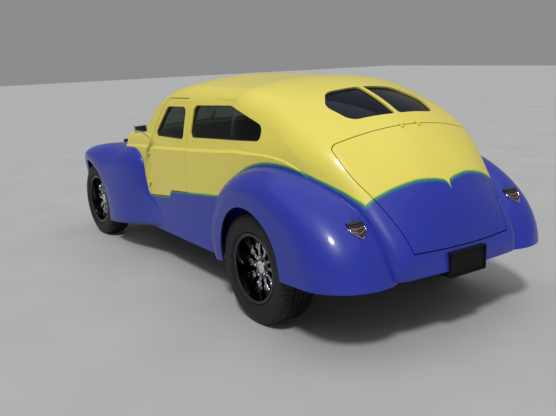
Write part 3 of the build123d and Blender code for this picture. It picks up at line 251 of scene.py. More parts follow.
def one_colour_paint(name, colour, arch_shade=False):
    """Gloss paint in one colour, with faint clouding and orange peel; a panel given painted shade is black,
    without coat, on faces turned in to its wheel arch and on faces turned down.
    """
    made, tree, shader, place = base(name, **PAINT)
    stops = ((0.3, shade(colour, 0.94)), (0.7, shade(colour, 1.06)))
    colours = ramp(tree, spots(tree, place, 2.2, 2.0), stops)
    # Painted shade: faces turned in to the wheel arch or turned down are black, with no coat
    if arch_shade:
        normal = tree.nodes.new("ShaderNodeNewGeometry").outputs["True Normal"]
        normal_x, normal_y, normal_z = parts_of(tree, normal)
        x, y, z = parts_of(tree, place)
        outward = calc(tree, "MULTIPLY", normal_y, calc(tree, "SIGN", y))
        front_half = calc(tree, "GREATER_THAN", x, 0.0)
        ahead = calc(tree, "SUBTRACT", x, calc(tree, "MULTIPLY_ADD", front_half, WHEELBASE, AXLE_X))
        above = calc(tree, "SUBTRACT", z, ARCH_HEIGHT)
        radial = calc(tree, "MULTIPLY_ADD", ahead, normal_x, calc(tree, "MULTIPLY", above, normal_z))
        facing = calc(tree, "MULTIPLY_ADD", radial, 4.0, outward)
        inward = calc(tree, "LESS_THAN", facing, -0.25)
        inside = calc(tree, "MAXIMUM", inward, calc(tree, "LESS_THAN", normal_z, -0.7))
        mixed = tree.nodes.new("ShaderNodeMix")
        mixed.data_type = "RGBA"
        tree.links.new(inside, mixed.inputs[0])
        tree.links.new(colours, mixed.inputs[6])
        mixed.inputs[7].default_value = (*ARCH_SHADE_BLACK, 1)
        colours = mixed.outputs[2]
        coat = calc(tree, "MULTIPLY_ADD", inside, -PAINT_COAT, PAINT_COAT)
        socket(tree, shader.inputs["Coat Weight"], coat)
        gloss = calc(tree, "MULTIPLY_ADD", inside, 0.4, PAINT_ROUGHNESS)
        socket(tree, shader.inputs["Roughness"], gloss)
    socket(tree, shader.inputs["Base Color"], colours)
    bumped(tree, shader, spots(tree, place, 260.0, 1.0), 0.04, 0.0004)
    return made


def glass(name, tint, through=1.0, bend=1.48):
    """Tinted glass with a faint uneven film."""
    made, tree, shader, place = base(name, IOR=bend, Transmission_Weight=through)
    colours = ramp(tree, spots(tree, place, 3.0, 2.0), ((0.3, shade(tint, 0.92)), (0.7, shade(tint, 1.05))))
    socket(tree, shader.inputs["Base Color"], colours)
    film = calc(tree, "MULTIPLY_ADD", spots(tree, place, 11.0, 4.0), 0.05, 0.0, clamp=True)
    socket(tree, shader.inputs["Roughness"], film)
    return made


paint = car_paint("two_tone_paint")
blue = one_colour_paint("blue_paint", BLUE)
# The fenders' blue, with painted shade making it black inside the wheel arches and underneath
fender_paint_arch_shade = one_colour_paint("fender_paint_arch_shade", BLUE, arch_shade=True)
side_glass = glass("side_glass", (0.11, 0.15, 0.12), bend=1.25)
rear_tint = glass("rear_glass_tint", (0.006, 0.010, 0.024), 0.35, bend=1.22)
screen_glass = glass("screen_glass", (0.62, 0.68, 0.68))
lens_glass = glass("lens_glass", (0.85, 0.88, 0.9))
chrome = finish("chrome", (0.80, 0.81, 0.83), 0.07, vary=0.04, rough_vary=0.04, bump=0.02, Metallic=1.0)
dull_metal = finish("dull_metal", (0.42, 0.42, 0.43), 0.38, Metallic=1.0)
cast = finish("cast_alloy", (0.55, 0.56, 0.58), 0.42, Metallic=1.0, bump=0.5, bump_scale=420.0)
iron = finish("engine_enamel", (0.06, 0.07, 0.075), 0.35, bump=0.4, bump_scale=300.0)
black = finish("chassis_black", (0.018, 0.018, 0.020), 0.42, vary=0.3, bump=0.25)
matte = finish("matte_black", (0.022, 0.022, 0.023), 0.62, vary=0.25, bump=0.35, bump_scale=500.0)
rubber = finish("rubber", (0.016, 0.016, 0.017), 0.55, vary=0.2, bump=0.2, bump_scale=320.0)
seal = finish("seal_rubber", (0.012, 0.012, 0.013), 0.48, vary=0.2, bump=0.15)
red = glass("red_lens", (0.55, 0.012, 0.015), 0.25)
headliner = finish("headliner", (0.30, 0.29, 0.26), 0.9, bump=0.5, bump_scale=700.0)

FINISHES = {
    "paint_yellow": paint, "paint_blue": blue, "glass": side_glass, "tyre": rubber, "chrome": chrome,
    "frame_black": black, "cast_iron": iron, "aluminium": cast, "steel": dull_metal, "leather": headliner,
    "trim_black": matte, "lens_red": red,
}
recess = finish("recess_black", (0.004, 0.004, 0.0045), 0.7, vary=0.2, bump=0.3, Specular_IOR_Level=0.2)
# The wheel tubs take chassis black as painted shade inside the wheel arches
OWN = {
    "skirts": paint, "plate_box": recess, "fender_rear_left": fender_paint_arch_shade, "fender_rear_right": fender_paint_arch_shade,
    "wheel_tubs": black, "rear_glass": rear_tint, "windshield": screen_glass,
    "lamp_lenses": lens_glass, "grille_nose": chrome,
}
slots = {row["node"]: row["material_slot"] for row in frame["record"]["subparts"]}
for name, node in nodes.items():
    node.data.materials.clear()
    node.data.materials.append(OWN.get(name, FINISHES[slots[name]]))


# Mesh helpers

def piece(name, bm, body, material, smooth=True, node=None):
    """Turn a bmesh into a piece that rides on a body."""
    mesh = bpy.data.meshes.new(name)
    bmesh.ops.recalc_face_normals(bm, faces=bm.faces)
    bm.to_mesh(mesh)
    bm.free()
    made = bpy.data.objects.new(name, mesh)
    bpy.context.scene.collection.objects.link(made)
    made.data.materials.append(material)
    if smooth:
        for polygon in mesh.polygons:
            polygon.use_smooth = True
        mesh.set_sharp_from_angle(angle=radians(38))
    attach(made, body)
    if node:
        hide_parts(*([node] if isinstance(node, str) else node))
    return made


def tube(name, loops, radius, body, material, closed=True, sides=2):
    """Round trim along one or more lines."""
    curve = bpy.data.curves.new(name, "CURVE")
    curve.dimensions = "3D"
    curve.bevel_depth = radius
    curve.bevel_resolution = sides
    curve.use_fill_caps = True
    for points in loops:
        line = curve.splines.new("POLY")
        line.points.add(len(points) - 1)
        for target, point in zip(line.points, points):
            target.co = (*point, 1)
        line.use_cyclic_u = closed
    made = bpy.data.objects.new(name, curve)
    bpy.context.scene.collection.objects.link(made)
    curve.materials.append(material)
    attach(made, body)
    return made


def outline(node, facing, limit=0.6, welded=0.0004):
    """The closed edges of a pane's outer face."""
    bm = bmesh.new()
    bm.from_mesh(node.data)
    bmesh.ops.remove_doubles(bm, verts=bm.verts, dist=welded)
    bm.normal_update()
    outer = {face for face in bm.faces if face.normal.dot(facing(face.calc_center_median())) > limit}
    edges = [edge for edge in bm.edges if sum(face in outer for face in edge.link_faces) == 1]
    links = {}
    for edge in edges:
        for vert, other in (edge.verts, reversed(edge.verts)):
            links.setdefault(vert, []).append(other)
    loops = []
    left = dict.fromkeys(links)
    while left:
        start = next(iter(left))
        del left[start]
        chain = [start]
        here = start
        while True:
            ahead = [vert for vert in links[here] if vert in left]
            if not ahead:
                break
            here = ahead[0]
            del left[here]
            chain.append(here)
        if len(chain) > 8:
            loops.append([vert.co.copy() for vert in chain])
    bm.free()
    return loops


def thinned(points, gap=0.008):
    """A line's points at least a gap apart."""
    kept = [points[0]]
    for point in points[1:]:
        if (point - kept[-1]).length > gap:
            kept.append(point)
    return kept


def skin_of(*names):
    """A tree of the faces of some nodes, to lay trim on."""
    corners, faces = [], []
    for name in names:
        mesh = nodes[name].data
        start = len(corners)
        corners += [vert.co.copy() for vert in mesh.vertices]
        faces += [[start + index for index in polygon.vertices] for polygon in mesh.polygons]
    return BVHTree.FromPolygons(corners, faces)


def draped(skin, points, aim, lift):
    """Points moved along an aim on to a skin, then lifted off it."""
    laid = []
    for point in points:
        hit, normal, _, _ = skin.ray_cast(point - aim, aim.normalized(), 1.6)
        if hit is None:
            hit, normal, _, _ = skin.find_nearest(point)
        if normal.dot(aim) > 0:
            normal = -normal
        laid.append(hit + normal * lift)
    return laid


def sideways(centre):
    return Vector((0, 1 if centre.y > 0 else -1, 0.25)).normalized()


def rearward(centre):
    return Vector((-0.45, 0, 0.89))


def screenward(centre):
    return Vector((0.66, 0, 0.74))


def backward(centre):
    return Vector((-1, 0, 0))


for name, facing, body in (
    ("quarter_glass", sideways, "car"), ("rear_glass", rearward, "car"), ("windshield", screenward, "car"),
    ("door_glass_left", sideways, "door_left"), ("door_glass_right", sideways, "door_right"),
):
    loops = [thinned(loop) for loop in outline(nodes[name], facing)]
    if loops:
        tube(f"seal_{name}", loops, 0.0065, body, seal)


# Front fenders

FENDER_AXIS = (WHEELBASE, 0.342)
FENDER_SECTIONS = 64
FENDER_POINTS = 37
FENDER_SHEET = 0.003
FENDER_ROWS = (
    # degrees back from upright, inner y, seam reach, crown y, crown reach,
    # outer y, shoulder reach, lip y, lip reach, flow
    (-92, 0.400, 0.455, 0.560, 0.490, 0.700, 0.420, 0.692, 0.385, 0.0),
    (-55, 0.400, 0.475, 0.590, 0.515, 0.770, 0.425, 0.761, 0.387, 0.0),
    (-20, 0.400, 0.470, 0.650, 0.520, 0.848, 0.430, 0.839, 0.390, 0.0),
    (3, 0.400, 0.480, 0.680, 0.529, 0.884, 0.440, 0.874, 0.390, 0.0),
    (23, 0.400, 0.540, 0.700, 0.604, 0.893, 0.455, 0.880, 0.390, 0.0),
    (40, 0.420, 0.690, 0.700, 0.742, 0.889, 0.475, 0.872, 0.390, 0.0),
    (50, 0.500, 0.850, 0.700, 0.895, 0.885, 0.490, 0.868, 0.390, 0.0),
    (57, 0.600, 1.030, 0.720, 1.066, 0.883, 0.500, 0.865, 0.390, 0.0),
    (64, 0.740, 1.136, 0.750, 1.140, 0.878, 0.515, 0.862, 0.390, 0.05),
    (71.5, 0.745, 1.115, 0.752, 1.117, 0.874, 0.530, 0.860, 0.390, 0.15),
    (79, 0.745, 1.154, 0.752, 1.156, 0.868, 0.540, 0.857, 0.391, 0.45),
    (86, 0.748, 1.280, 0.757, 1.282, 0.862, 0.550, 0.852, 0.393, 0.9),
    (97, 0.748, 1.340, 0.757, 1.342, 0.850, 0.550, 0.842, 0.396, 1.0),
)


def eased(rows, place):
    """Values between rows, on a smooth curve through them."""
    k = max(i for i in range(len(rows) - 1) if rows[i][0] <= place + 1e-9)
    first, second = rows[k], rows[k + 1]
    before, after = rows[max(k - 1, 0)], rows[min(k + 2, len(rows) - 1)]
    span = second[0] - first[0]
    u = (place - first[0]) / span
    values = []
    for a, b, c, d in zip(before[1:], first[1:], second[1:], after[1:]):
        start = (c - a) / (second[0] - before[0]) * span
        end = (d - b) / (after[0] - first[0]) * span
        values.append(b * (1 - 3 * u * u + 2 * u ** 3) + start * (u - 2 * u * u + u ** 3)
                      + c * (3 * u * u - 2 * u ** 3) + end * (u ** 3 - u * u))
    return values


def fender_section(row):
    """One section of a front fender, from its inner foot over the crown to the rolled lip."""
    inner, seam, crown_y, crown, outer, shoulder, lip_y, lip, flow = row
    points = []
    if inner < 0.73:
        points.append((inner, min(lip + 0.02, seam - 0.03)))
    for k in range(8):
        turn = k * pi / 16
        points.append((crown_y - (crown_y - inner) * cos(turn), seam + (crown - seam) * sin(turn)))
    for k in range(19):
        q = cos(k * pi / 36)
        share = (1 - flow) * (1 - q * q) ** 0.5 + flow * (1 - q * q * (3 - 2 * q))
        points.append((crown_y + (outer - crown_y) * share, shoulder + (crown - shoulder) * q))
    for k in range(1, 7):
        u = k / 6
        points.append((outer - (outer - lip_y) * u * u, shoulder + (lip - shoulder) * u))
    return points + [(lip_y - 0.004, lip - 0.005), (lip_y - 0.013, lip - 0.005), (lip_y - 0.016, lip + 0.004)]


def fender_point(side, angle, y, reach):
    """A point of a fender; the last rows level out along the lower edge."""
    turn = radians(min(angle, 80))
    rise, back = reach * cos(turn), reach * sin(turn)
    if angle > 80:
        share = (angle - 80) / 17
        level = -0.137 + 0.117 * (reach - 0.39) / 0.95
        rise = rise * (1 - share) + level * share
        back = (reach * reach - rise * rise) ** 0.5
    return at(FENDER_AXIS[0] - back, side * y, FENDER_AXIS[1] + rise)


for side_name, side in (("left", 1), ("right", -1)):
    bm = bmesh.new()
    rows = []
    first_angle, last_angle = FENDER_ROWS[0][0], FENDER_ROWS[-1][0]
    for k in range(FENDER_SECTIONS):
        angle = first_angle + (last_angle - first_angle) * k / (FENDER_SECTIONS - 1)
        section = fender_section(eased(FENDER_ROWS, angle))
        if len(section) < FENDER_POINTS:
            section = [section[0]] + section
        rows.append([bm.verts.new(fender_point(side, angle, y, reach)) for y, reach in section])
    for first, second in zip(rows, rows[1:]):
        for k in range(len(first) - 1):
            bm.faces.new((first[k], first[k + 1], second[k + 1], second[k]))
    bmesh.ops.remove_doubles(bm, verts=bm.verts, dist=0.0002)
    made = piece(f"front_fender_{side_name}", bm, "car", fender_paint_arch_shade,
                 node=f"fender_front_{side_name}")
    solid = made.modifiers.new("solid", "SOLIDIFY")
    solid.thickness = FENDER_SHEET
    solid.offset = -1 if made.data.polygons[len(made.data.polygons) // 2].normal.y * side > 0 else 1


# Tail lamps

def chevron_lens():
    """Deep red lens with darker ribs that follow its chevrons."""
    made, tree, shader, place = base("chevron_lens", Roughness=0.12, IOR=1.5, Coat_Weight=1.0,
                                     Coat_Roughness=0.04)
    _, y, z = parts_of(tree, place)
    out = calc(tree, "ABSOLUTE", calc(tree, "SUBTRACT", calc(tree, "ABSOLUTE", y), LAMP_AT[0]))
    rise = calc(tree, "SUBTRACT", z, calc(tree, "MULTIPLY", out, 0.32))
    ribs = calc(tree, "FRACT", calc(tree, "MULTIPLY", rise, 110.0))
    worn = calc(tree, "MULTIPLY_ADD", spots(tree, place, 60.0), 0.2, ribs)
    reds = ((0.1, (0.012, 0.001, 0.003)), (0.5, (0.085, 0.005, 0.012)), (1.1, (0.040, 0.002, 0.006)))
    colours = ramp(tree, worn, reds)
    socket(tree, shader.inputs["Base Color"], colours)
    bumped(tree, shader, ribs, 0.5, 0.002)
    return made


# Distance out and height of a tail lamp's middle, and the station its trim is laid from
LAMP_AT = (0.659, 0.741)
LAMP_STATION = -0.80
lens = chevron_lens()
nodes["tail_lamps"].data.materials.clear()
nodes["tail_lamps"].data.materials.append(lens)
lamp_skin = skin_of("tail_lamps", "fender_rear_left", "fender_rear_right")
for side_name, side in (("left", 1), ("right", -1)):
    def on_lamp(out, up):
        """A point on the lamp's plane, from millimetres out and up from its middle."""
        return at(LAMP_STATION, side * (LAMP_AT[0] + out / 1000), LAMP_AT[1] + up / 1000)

    def lamp_line(*corners, steps=8):
        """Points along a line through corners on the lamp's plane."""
        line = []
        for (u, v), (uu, vv) in zip(corners, corners[1:]):
            line += [on_lamp(u + (uu - u) * k / steps, v + (vv - v) * k / steps) for k in range(steps)]
        line.append(on_lamp(*corners[-1]))
        return line

    aim = Vector((1, 0, 0))
    for part_name, corners, lift, radius, material in (
        ("bar", ((-54, 26), (54, 26)), 0.000, 0.0095, matte),
        ("ledge", ((-54, 14), (54, 14)), 0.000, 0.0070, matte),
        ("band", ((-54, 7), (0, 1), (54, 7)), 0.0005, 0.0016, chrome),
        ("chevron", ((-50, -6), (0, -20), (50, -6)), 0.0005, 0.0013, chrome),
        ("rim", ((-55, 8), (-55, -8), (0, -45), (55, -8), (55, 8)), -0.001, 0.0020, chrome),
    ):
        line = draped(lamp_skin, lamp_line(*corners), aim, lift)
        trim_name = f"lamp_{part_name}_{side_name}"
        tube(trim_name, [line], radius, "car", material, closed=False, sides=3)
    bm = bmesh.new()
    rows = []
    for up, half, proud in ((20, 24, 8), (34, 16, 9), (44, 9, 7), (56, 2.0, 3)):
        across = [on_lamp(out, up) for out in (-half, 0, half)]
        left, middle, right = draped(lamp_skin, across, aim, 0.0)
        rows.append([bm.verts.new(left + aim * 0.004), bm.verts.new(middle - aim * proud / 1000),
                     bm.verts.new(right + aim * 0.004), bm.verts.new(middle + aim * 0.006)])
    for first, second in zip(rows, rows[1:]):
        for k in range(4):
            bm.faces.new((first[k], first[(k + 1) % 4], second[(k + 1) % 4], second[k]))
    bm.faces.new(rows[0])
    bm.faces.new(reversed(rows[-1]))
    piece(f"lamp_spike_{side_name}", bm, "car", matte)


# Wheels

def lathe(bm, rings, angles, place):
    """Faces through rings of points, closed both along the rings and around the angles."""
    rows = [[bm.verts.new(place(*point, angle)) for point in ring] for ring, angle in zip(rings, angles)]
    for first, second in zip(rows, rows[1:] + rows[:1]):
        count = len(first)
        for i in range(count):
            bm.faces.new((first[i], first[(i + 1) % count], second[(i + 1) % count], second[i]))


def tyre_ring(radius, half, grooves, cut, shoulder_cut):
    """One closed section of a tyre as rows of distance out and radius."""
    bead = half - 0.025
    outer = [
        (bead - 0.004, 0.2155), (bead + 0.002, 0.217), (bead + 0.005, 0.2275), (half - 0.012, 0.233),
        (half - 0.004, 0.242), (half - 0.0006, 0.256), (half, 0.262), (half + 0.0006, 0.264), (half, 0.266),
        (half, 0.281), (half, radius - 0.066), (half + 0.0007, radius - 0.063), (half, radius - 0.060),
        (half - 0.001, radius - 0.046), (half - 0.005, radius - 0.030),
        (half - 0.012, radius - 0.016 - shoulder_cut), (half - 0.020, radius - 0.0075 - shoulder_cut),
        (half - 0.031, radius - 0.0022 - shoulder_cut),
    ]
    edges = [half - 0.042]
    step = (2 * edges[0]) / (grooves + 1)
    tread = [(edges[0], radius - cut)]
    for g in range(grooves):
        middle = edges[0] - step * (g + 1)
        tread += [(middle + 0.0045, radius - cut), (middle + 0.0035, radius - 0.008),
                  (middle - 0.0035, radius - 0.008), (middle - 0.0045, radius - cut)]
    tread.append((-edges[0], radius - cut))
    return outer + tread + [(-a, r) for a, r in reversed(outer)]


# Share of a tread pitch, depth of the sipe and depth of the shoulder block there
TREAD_CUTS = (
    (0.0, 0.0, 0.0), (0.42, 0.0, 0.0), (0.44, 0.0025, 0.0), (0.50, 0.0025, 0.0),
    (0.52, 0.0, 0.0), (0.78, 0.0, 0.0), (0.81, 0.0, 0.005), (0.97, 0.0, 0.005),
)


def tyre(name, body, node, centre, side, radius, half, pitches, grooves):
    """A tyre with ribs, sipes and rings on its blank walls."""
    def place(a, r, angle):
        return centre + Vector((r * sin(angle), side * a, r * cos(angle)))

    pitch = 2 * pi / pitches
    angles, rings = [], []
    for i in range(pitches):
        for share, cut, shoulder in TREAD_CUTS:
            angles.append((i + share) * pitch)
            rings.append(tyre_ring(radius, half, grooves, cut, shoulder))
    bm = bmesh.new()
    lathe(bm, rings, angles, place)
    piece(name, bm, body, tyre_rubber, node=node)


SPOKES = 10
WHEEL_ARMS = {
    # each arm: rows of radius and lift, half widths, ridge heights, and turns about the axle
    "spokes": (
        (((0.058, 0.0), (0.080, 0.001), (0.105, 0.003), (0.130, 0.001), (0.158, 0.004)),
         (0.011, 0.0125, 0.010, 0.0135, 0.009), (0.006, 0.010, 0.005, 0.011, 0.004),
         (0, 0.02, -0.02, 0.02, 0)),
        (((0.112, 0.000), (0.135, 0.004), (0.160, 0.001)), (0.005, 0.006, 0.003), (0.003, 0.008, 0.002),
         (0.10, 0.14, 0.20)),
        (((0.112, 0.000), (0.135, 0.004), (0.160, 0.001)), (0.005, 0.006, 0.003), (0.003, 0.008, 0.002),
         (-0.10, -0.14, -0.20)),
    ),
    "forks": (
        (((0.150, 0.002), (0.180, 0.004), (0.206, 0.010)), (0.012, 0.0125, 0.0135), (0.008, 0.009, 0.006),
         (0, 0, 0)),
        (((0.128, 0.000), (0.165, 0.003), (0.206, 0.008)), (0.0045, 0.0045, 0.005), (0.004, 0.005, 0.004),
         (0.012, 0.10, 0.185)),
        (((0.128, 0.000), (0.165, 0.003), (0.206, 0.008)), (0.0045, 0.0045, 0.005), (0.004, 0.005, 0.004),
         (-0.012, -0.10, -0.185)),
    ),
}


def wheel_trim(name, body, centre, side, face, lip_a, dark):
    """Bright faceted spokes with forked ends, a rolled lip, a cap and lug nuts over the rim's own metal."""
    def put(a, r, angle):
        return centre + Vector((r * sin(angle), side * a, r * cos(angle)))

    for part_name, material in (("spokes", spoke_chrome), ("forks", dark)):
        bm = bmesh.new()
        for i in range(SPOKES):
            angle = i * 2 * pi / SPOKES + pi / 2
            for reach, half_width, rise, turn in WHEEL_ARMS[part_name]:
                rows = []
                for (r, lift), width, height, bend in zip(reach, half_width, rise, turn):
                    a = face + lift
                    left, middle, right = angle + bend - width / r, angle + bend, angle + bend + width / r
                    foot = a - 0.003
                    section = ((foot, left), (a, left), (a + height, middle), (a, right), (foot, right))
                    rows.append([bm.verts.new(put(out, r, turned)) for out, turned in section])
                for first, second in zip(rows, rows[1:]):
                    for k in range(len(first)):
                        ahead = (k + 1) % len(first)
                        bm.faces.new((first[k], first[ahead], second[ahead], second[k]))
                bm.faces.new(rows[0])
                bm.faces.new(reversed(rows[-1]))
        piece(f"{name}_{part_name}", bm, body, material, smooth=False)

    bm = bmesh.new()
    steps = 72
    lip = [(lip_a - 0.004, 0.2085), (lip_a + 0.0005, 0.2078), (lip_a + 0.003, 0.212), (lip_a + 0.004, 0.220),
           (lip_a + 0.0035, 0.2265), (lip_a + 0.001, 0.2285), (lip_a - 0.002, 0.2278)]
    lathe(bm, [lip] * steps, [k * 2 * pi / steps for k in range(steps)], put)
    piece(f"{name}_lip", bm, body, dark)

    bm = bmesh.new()
    cap = [(face + out, r) for out, r in (
        (-0.004, 0.0), (-0.004, 0.043), (0.010, 0.042), (0.016, 0.039), (0.0175, 0.033),
        (0.0165, 0.027), (0.020, 0.020), (0.0225, 0.011), (0.023, 0.0))]
    rows = [[bm.verts.new(put(a, max(r, 0.0004), k * 2 * pi / 48)) for a, r in cap] for k in range(48)]
    for first, second in zip(rows, rows[1:] + rows[:1]):
        for k in range(len(cap) - 1):
            bm.faces.new((first[k], first[k + 1], second[k + 1], second[k]))
    bm.faces.new([row[-1] for row in rows])
    bm.faces.new([row[0] for row in reversed(rows)])
    piece(f"{name}_cap", bm, body, chrome)

    bm = bmesh.new()
    for i in range(5):
        angle = i * 2 * pi / 5 + pi / 2
        middle = put(0, 0.057, angle) - centre
        rows = []
        for out, r in ((0.004, 0.0125), (0.008, 0.0125), (0.008, 0.0105), (0.020, 0.0105), (0.0235, 0.008)):
            a = side * (face + out)
            corners = [Vector((r * sin(k * pi / 3), a, r * cos(k * pi / 3))) for k in range(6)]
            rows.append([bm.verts.new(centre + middle + corner) for corner in corners])
        for first, second in zip(rows, rows[1:]):
            for k in range(6):
                bm.faces.new((first[k], first[(k + 1) % 6], second[(k + 1) % 6], second[k]))
        bm.faces.new(rows[-1])
        bm.faces.new(reversed(rows[0]))
    piece(f"{name}_nuts", bm, body, chrome, smooth=False)


def rubber_tread(name):
    """Tyre rubber, dusty in uneven patches."""
    made, tree, shader, place = base(name, IOR=1.5, Specular_IOR_Level=0.3)
    dust = spots(tree, place, 26.0, 5.0, 0.65)
    greys = ((0.30, (0.007, 0.007, 0.008)), (0.60, (0.011, 0.011, 0.011)), (0.78, (0.020, 0.019, 0.017)))
    colours = ramp(tree, dust, greys)
    socket(tree, shader.inputs["Base Color"], colours)
    gloss = calc(tree, "MULTIPLY_ADD", dust, 0.28, 0.40, clamp=True)
    socket(tree, shader.inputs["Roughness"], gloss)
    bumped(tree, shader, spots(tree, place, 420.0, 2.0), 0.25, 0.0006)
    return made


tyre_rubber = rubber_tread("tyre_rubber")
spoke_chrome = finish("spoke_chrome", (0.50, 0.51, 0.54), 0.10, vary=0.35, scale=30.0, rough_vary=0.06,
                      bump=0.9, bump_scale=38.0, bump_size=0.012, Metallic=1.0)
black_chrome = finish("black_chrome", (0.055, 0.057, 0.062), 0.16, vary=0.2, rough_vary=0.06, Metallic=1.0)
TREAD_PITCHES = 60
SPOKE_SETBACK = 0.006
LIP_SETBACK = 0.0147
for place_name, station, wheel_y, radius, width, hub_front, grooves in (
    ("rear", 0.0, 0.735, 0.362, 0.255, 0.050, 4),
    ("front", WHEELBASE, 0.705, 0.342, 0.215, 0.040, 3),
):
    for side_name, side in (("left", 1), ("right", -1)):
        body = f"wheel_{place_name}_{side_name}"
        centre = at(station, side * wheel_y, radius)
        wheel = f"{place_name}_{side_name}"
        tyre(f"tread_{wheel}", body, f"tyre_{wheel}", centre, side, radius, width / 2, TREAD_PITCHES, grooves)
        wheel_trim(f"trim_{wheel}", body, centre, side, hub_front - SPOKE_SETBACK, width / 2 - LIP_SETBACK,
                   black_chrome)
        rim = nodes[f"rim_{wheel}"]
        rim.data.materials.clear()
        rim.data.materials.append(black_chrome)


# Mirrors

for side_name in ("left", "right"):
    loops = [thinned(loop, 0.006) for loop in outline(nodes[f"mirror_{side_name}"], backward, limit=0.9)]
    if loops:
        longest = max(loops, key=len)
        tube(f"mirror_ring_{side_name}", [longest], 0.0035, f"door_{side_name}", chrome)


# Seats

def hide_leather(name, colour):
    """Grained upholstery, paler where it is worn."""
    made, tree, shader, place = base(name, IOR=1.45, Sheen_Weight=0.15)
    wear = spots(tree, place, 7.0, 4.0, 0.6)
    colours = ramp(tree, wear, ((0.30, shade(colour, 0.80)), (0.62, colour), (0.80, shade(colour, 1.25))))
    socket(tree, shader.inputs["Base Color"], colours)
    gloss = calc(tree, "MULTIPLY_ADD", wear, -0.18, 0.56, clamp=True)
    socket(tree, shader.inputs["Roughness"], gloss)
    cells = tree.nodes.new("ShaderNodeTexVoronoi")
    cells.feature = "DISTANCE_TO_EDGE"
    cells.inputs["Scale"].default_value = 420.0
    tree.links.new(place, cells.inputs["Vector"])
    bumped(tree, shader, cells.outputs["Distance"], 0.35, 0.0008)
    return made


def applied(made, kind, **values):
    """Add one modifier, apply it and keep the result as the object's mesh."""
    modifier = made.modifiers.new(kind.lower(), kind)
    for key, value in values.items():
        setattr(modifier, key, value)
    deps = bpy.context.evaluated_depsgraph_get()
    mesh = bpy.data.meshes.new_from_object(made.evaluated_get(deps))
    made.modifiers.remove(modifier)
    old = made.data
    made.data = mesh
    bpy.data.meshes.remove(old)


def padded_bench(node, faces, material, pleat=0.0925, cap=0.024):
    """A bench cushion that swells against its sewn pleats."""
    mesh = nodes[node].data.copy()
    mesh.materials.clear()
    made = bpy.data.objects.new(f"pad_{node}", mesh)
    bpy.context.scene.collection.objects.link(made)
    bm = bmesh.new()
    bm.from_mesh(mesh)
    bmesh.ops.remove_doubles(bm, verts=bm.verts, dist=0.0001)
    low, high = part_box(node)
    middle = (low + high) / 2
    span = high - low
    for vert in bm.verts:
        vert.co = middle + Vector([(vert.co[k] - middle[k]) * (1 - 0.030 / span[k]) for k in range(3)])
    bm.to_mesh(mesh)
    bm.free()
    applied(made, "REMESH", mode="VOXEL", voxel_size=0.014, use_smooth_shade=True)
    applied(made, "SMOOTH", factor=0.5, iterations=6)
    rest = [vert.co.copy() for vert in made.data.vertices]
    cloth = made.modifiers.new("cloth", "CLOTH")
    cloth.settings.use_pressure = True
    cloth.settings.uniform_pressure_force = 4
    cloth.settings.quality = 4
    cloth.settings.effector_weights.gravity = 0
    cloth.point_cache.frame_start = 1
    cloth.point_cache.frame_end = 20
    for frame_number in range(1, 21):
        bpy.context.scene.frame_set(frame_number)
    deps = bpy.context.evaluated_depsgraph_get()
    swollen = bpy.data.meshes.new_from_object(made.evaluated_get(deps))
    made.modifiers.remove(cloth)
    made.data = swollen
    bpy.context.scene.frame_set(1)
    for vert, start in zip(made.data.vertices, rest):
        move = vert.co - start
        if move.length > cap:
            vert.co = start + move * (cap / move.length)
    applied(made, "SUBSURF", levels=1, render_levels=1)
    mesh = made.data
    edge = span.y / 2 - 0.07
    count = round(2 * edge / pleat)
    normals = [vert.normal.copy() for vert in mesh.vertices]
    for vert, normal in zip(mesh.vertices, normals):
        facing = normal.dot(faces)
        if facing < 0.35:
            continue
        across = abs(vert.co.y)
        if across < edge + 0.01:
            share = (vert.co.y + edge) / (2 * edge) * count
            seam = abs(share - round(share)) * 2 * edge / count
            depth = 0.0075 * min(1.0, max(0.0, (facing - 0.35) / 0.3))
            vert.co -= normal * depth * 2.718 ** (-(seam / 0.011) ** 2)
    for vert in mesh.vertices:
        vert.co.x = min(max(vert.co.x, low.x - 0.009), high.x + 0.009)
        vert.co.z = min(max(vert.co.z, low.z - 0.002), high.z + 0.012)
    mesh.materials.append(material)
    for polygon in mesh.polygons:
        polygon.use_smooth = True
    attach(made, "car")
    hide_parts(node)
    return made


upholstery = hide_leather("upholstery", (0.33, 0.25, 0.17))
padded_bench("front_cushion", Vector((0.2, 0, 0.98)), upholstery)
padded_bench("front_backrest", Vector((0.98, 0, 0.2)), upholstery)
padded_bench("rear_cushion", Vector((0.2, 0, 0.98)), upholstery)
padded_bench("rear_backrest", Vector((0.98, 0, 0.2)), upholstery)


# Stage

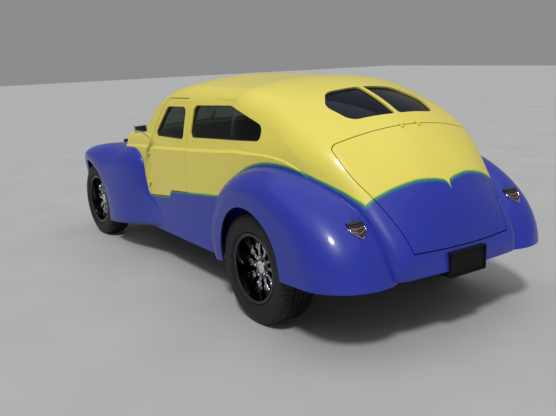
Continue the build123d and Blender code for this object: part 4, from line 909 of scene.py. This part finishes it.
def stage():
    mesh = bpy.data.meshes.new("floor")
    reach = 40
    corners = [(-reach, -reach, 0), (reach, -reach, 0), (reach, reach, 0), (-reach, reach, 0)]
    mesh.from_pydata(corners, [], [(0, 1, 2, 3)])
    floor = bpy.data.objects.new("floor", mesh)
    bpy.context.scene.collection.objects.link(floor)
    made, tree, shader, place = base("floor_grey", Roughness=0.85)
    greys = ((0.3, (0.44, 0.44, 0.44)), (0.7, (0.48, 0.48, 0.475)))
    colours = ramp(tree, spots(tree, place, 1.5, 4.0), greys)
    socket(tree, shader.inputs["Base Color"], colours)
    bumped(tree, shader, spots(tree, place, 90.0, 3.0), 0.1, 0.001)
    mesh.materials.append(made)

    world = bpy.data.worlds.new("studio")
    bpy.context.scene.world = world
    world.use_nodes = True
    tree = world.node_tree
    background = tree.nodes["Background"]
    background.inputs["Color"].default_value = (0.86, 0.88, 0.90, 1)
    background.inputs["Strength"].default_value = 0.30
    for name, place, aim, spread, power in (
        ("key", (-6.0, 5.5, 10.5), (-0.6, 0, 0.6), 0.14, 1.75),
        ("top", (-0.5, 0.5, 9.0), (0, 0, 0.5), 1.6, 0.75),
    ):
        lamp = bpy.data.lights.new(name, "SUN")
        lamp.angle = spread
        lamp.energy = power
        lit = bpy.data.objects.new(name, lamp)
        lit.location = place
        lit.rotation_euler = (Vector(aim) - Vector(place)).to_track_quat("-Z", "Y").to_euler()
        bpy.context.scene.collection.objects.link(lit)


def camera():
    yaw, pitch, roll = radians(-34.23), radians(-13.11), radians(-1.83)
    ahead = Vector((cos(yaw) * cos(pitch), sin(yaw) * cos(pitch), sin(pitch)))
    right = Vector((sin(yaw), -cos(yaw), 0))
    up = right.cross(ahead)
    side = cos(roll) * right + sin(roll) * up
    top = -sin(roll) * right + cos(roll) * up
    eye = bpy.data.cameras.new("camera")
    eye.sensor_width = 36
    eye.lens = 44.14
    made = bpy.data.objects.new("camera", eye)
    turn = Matrix((side, top, -ahead)).transposed()
    made.matrix_world = Matrix.Translation(at(-3.464, 3.004, 1.697)) @ turn.to_4x4()
    bpy.context.scene.collection.objects.link(made)
    bpy.context.scene.camera = made


stage()
camera()
bpy.context.scene.view_settings.view_transform = "Standard"
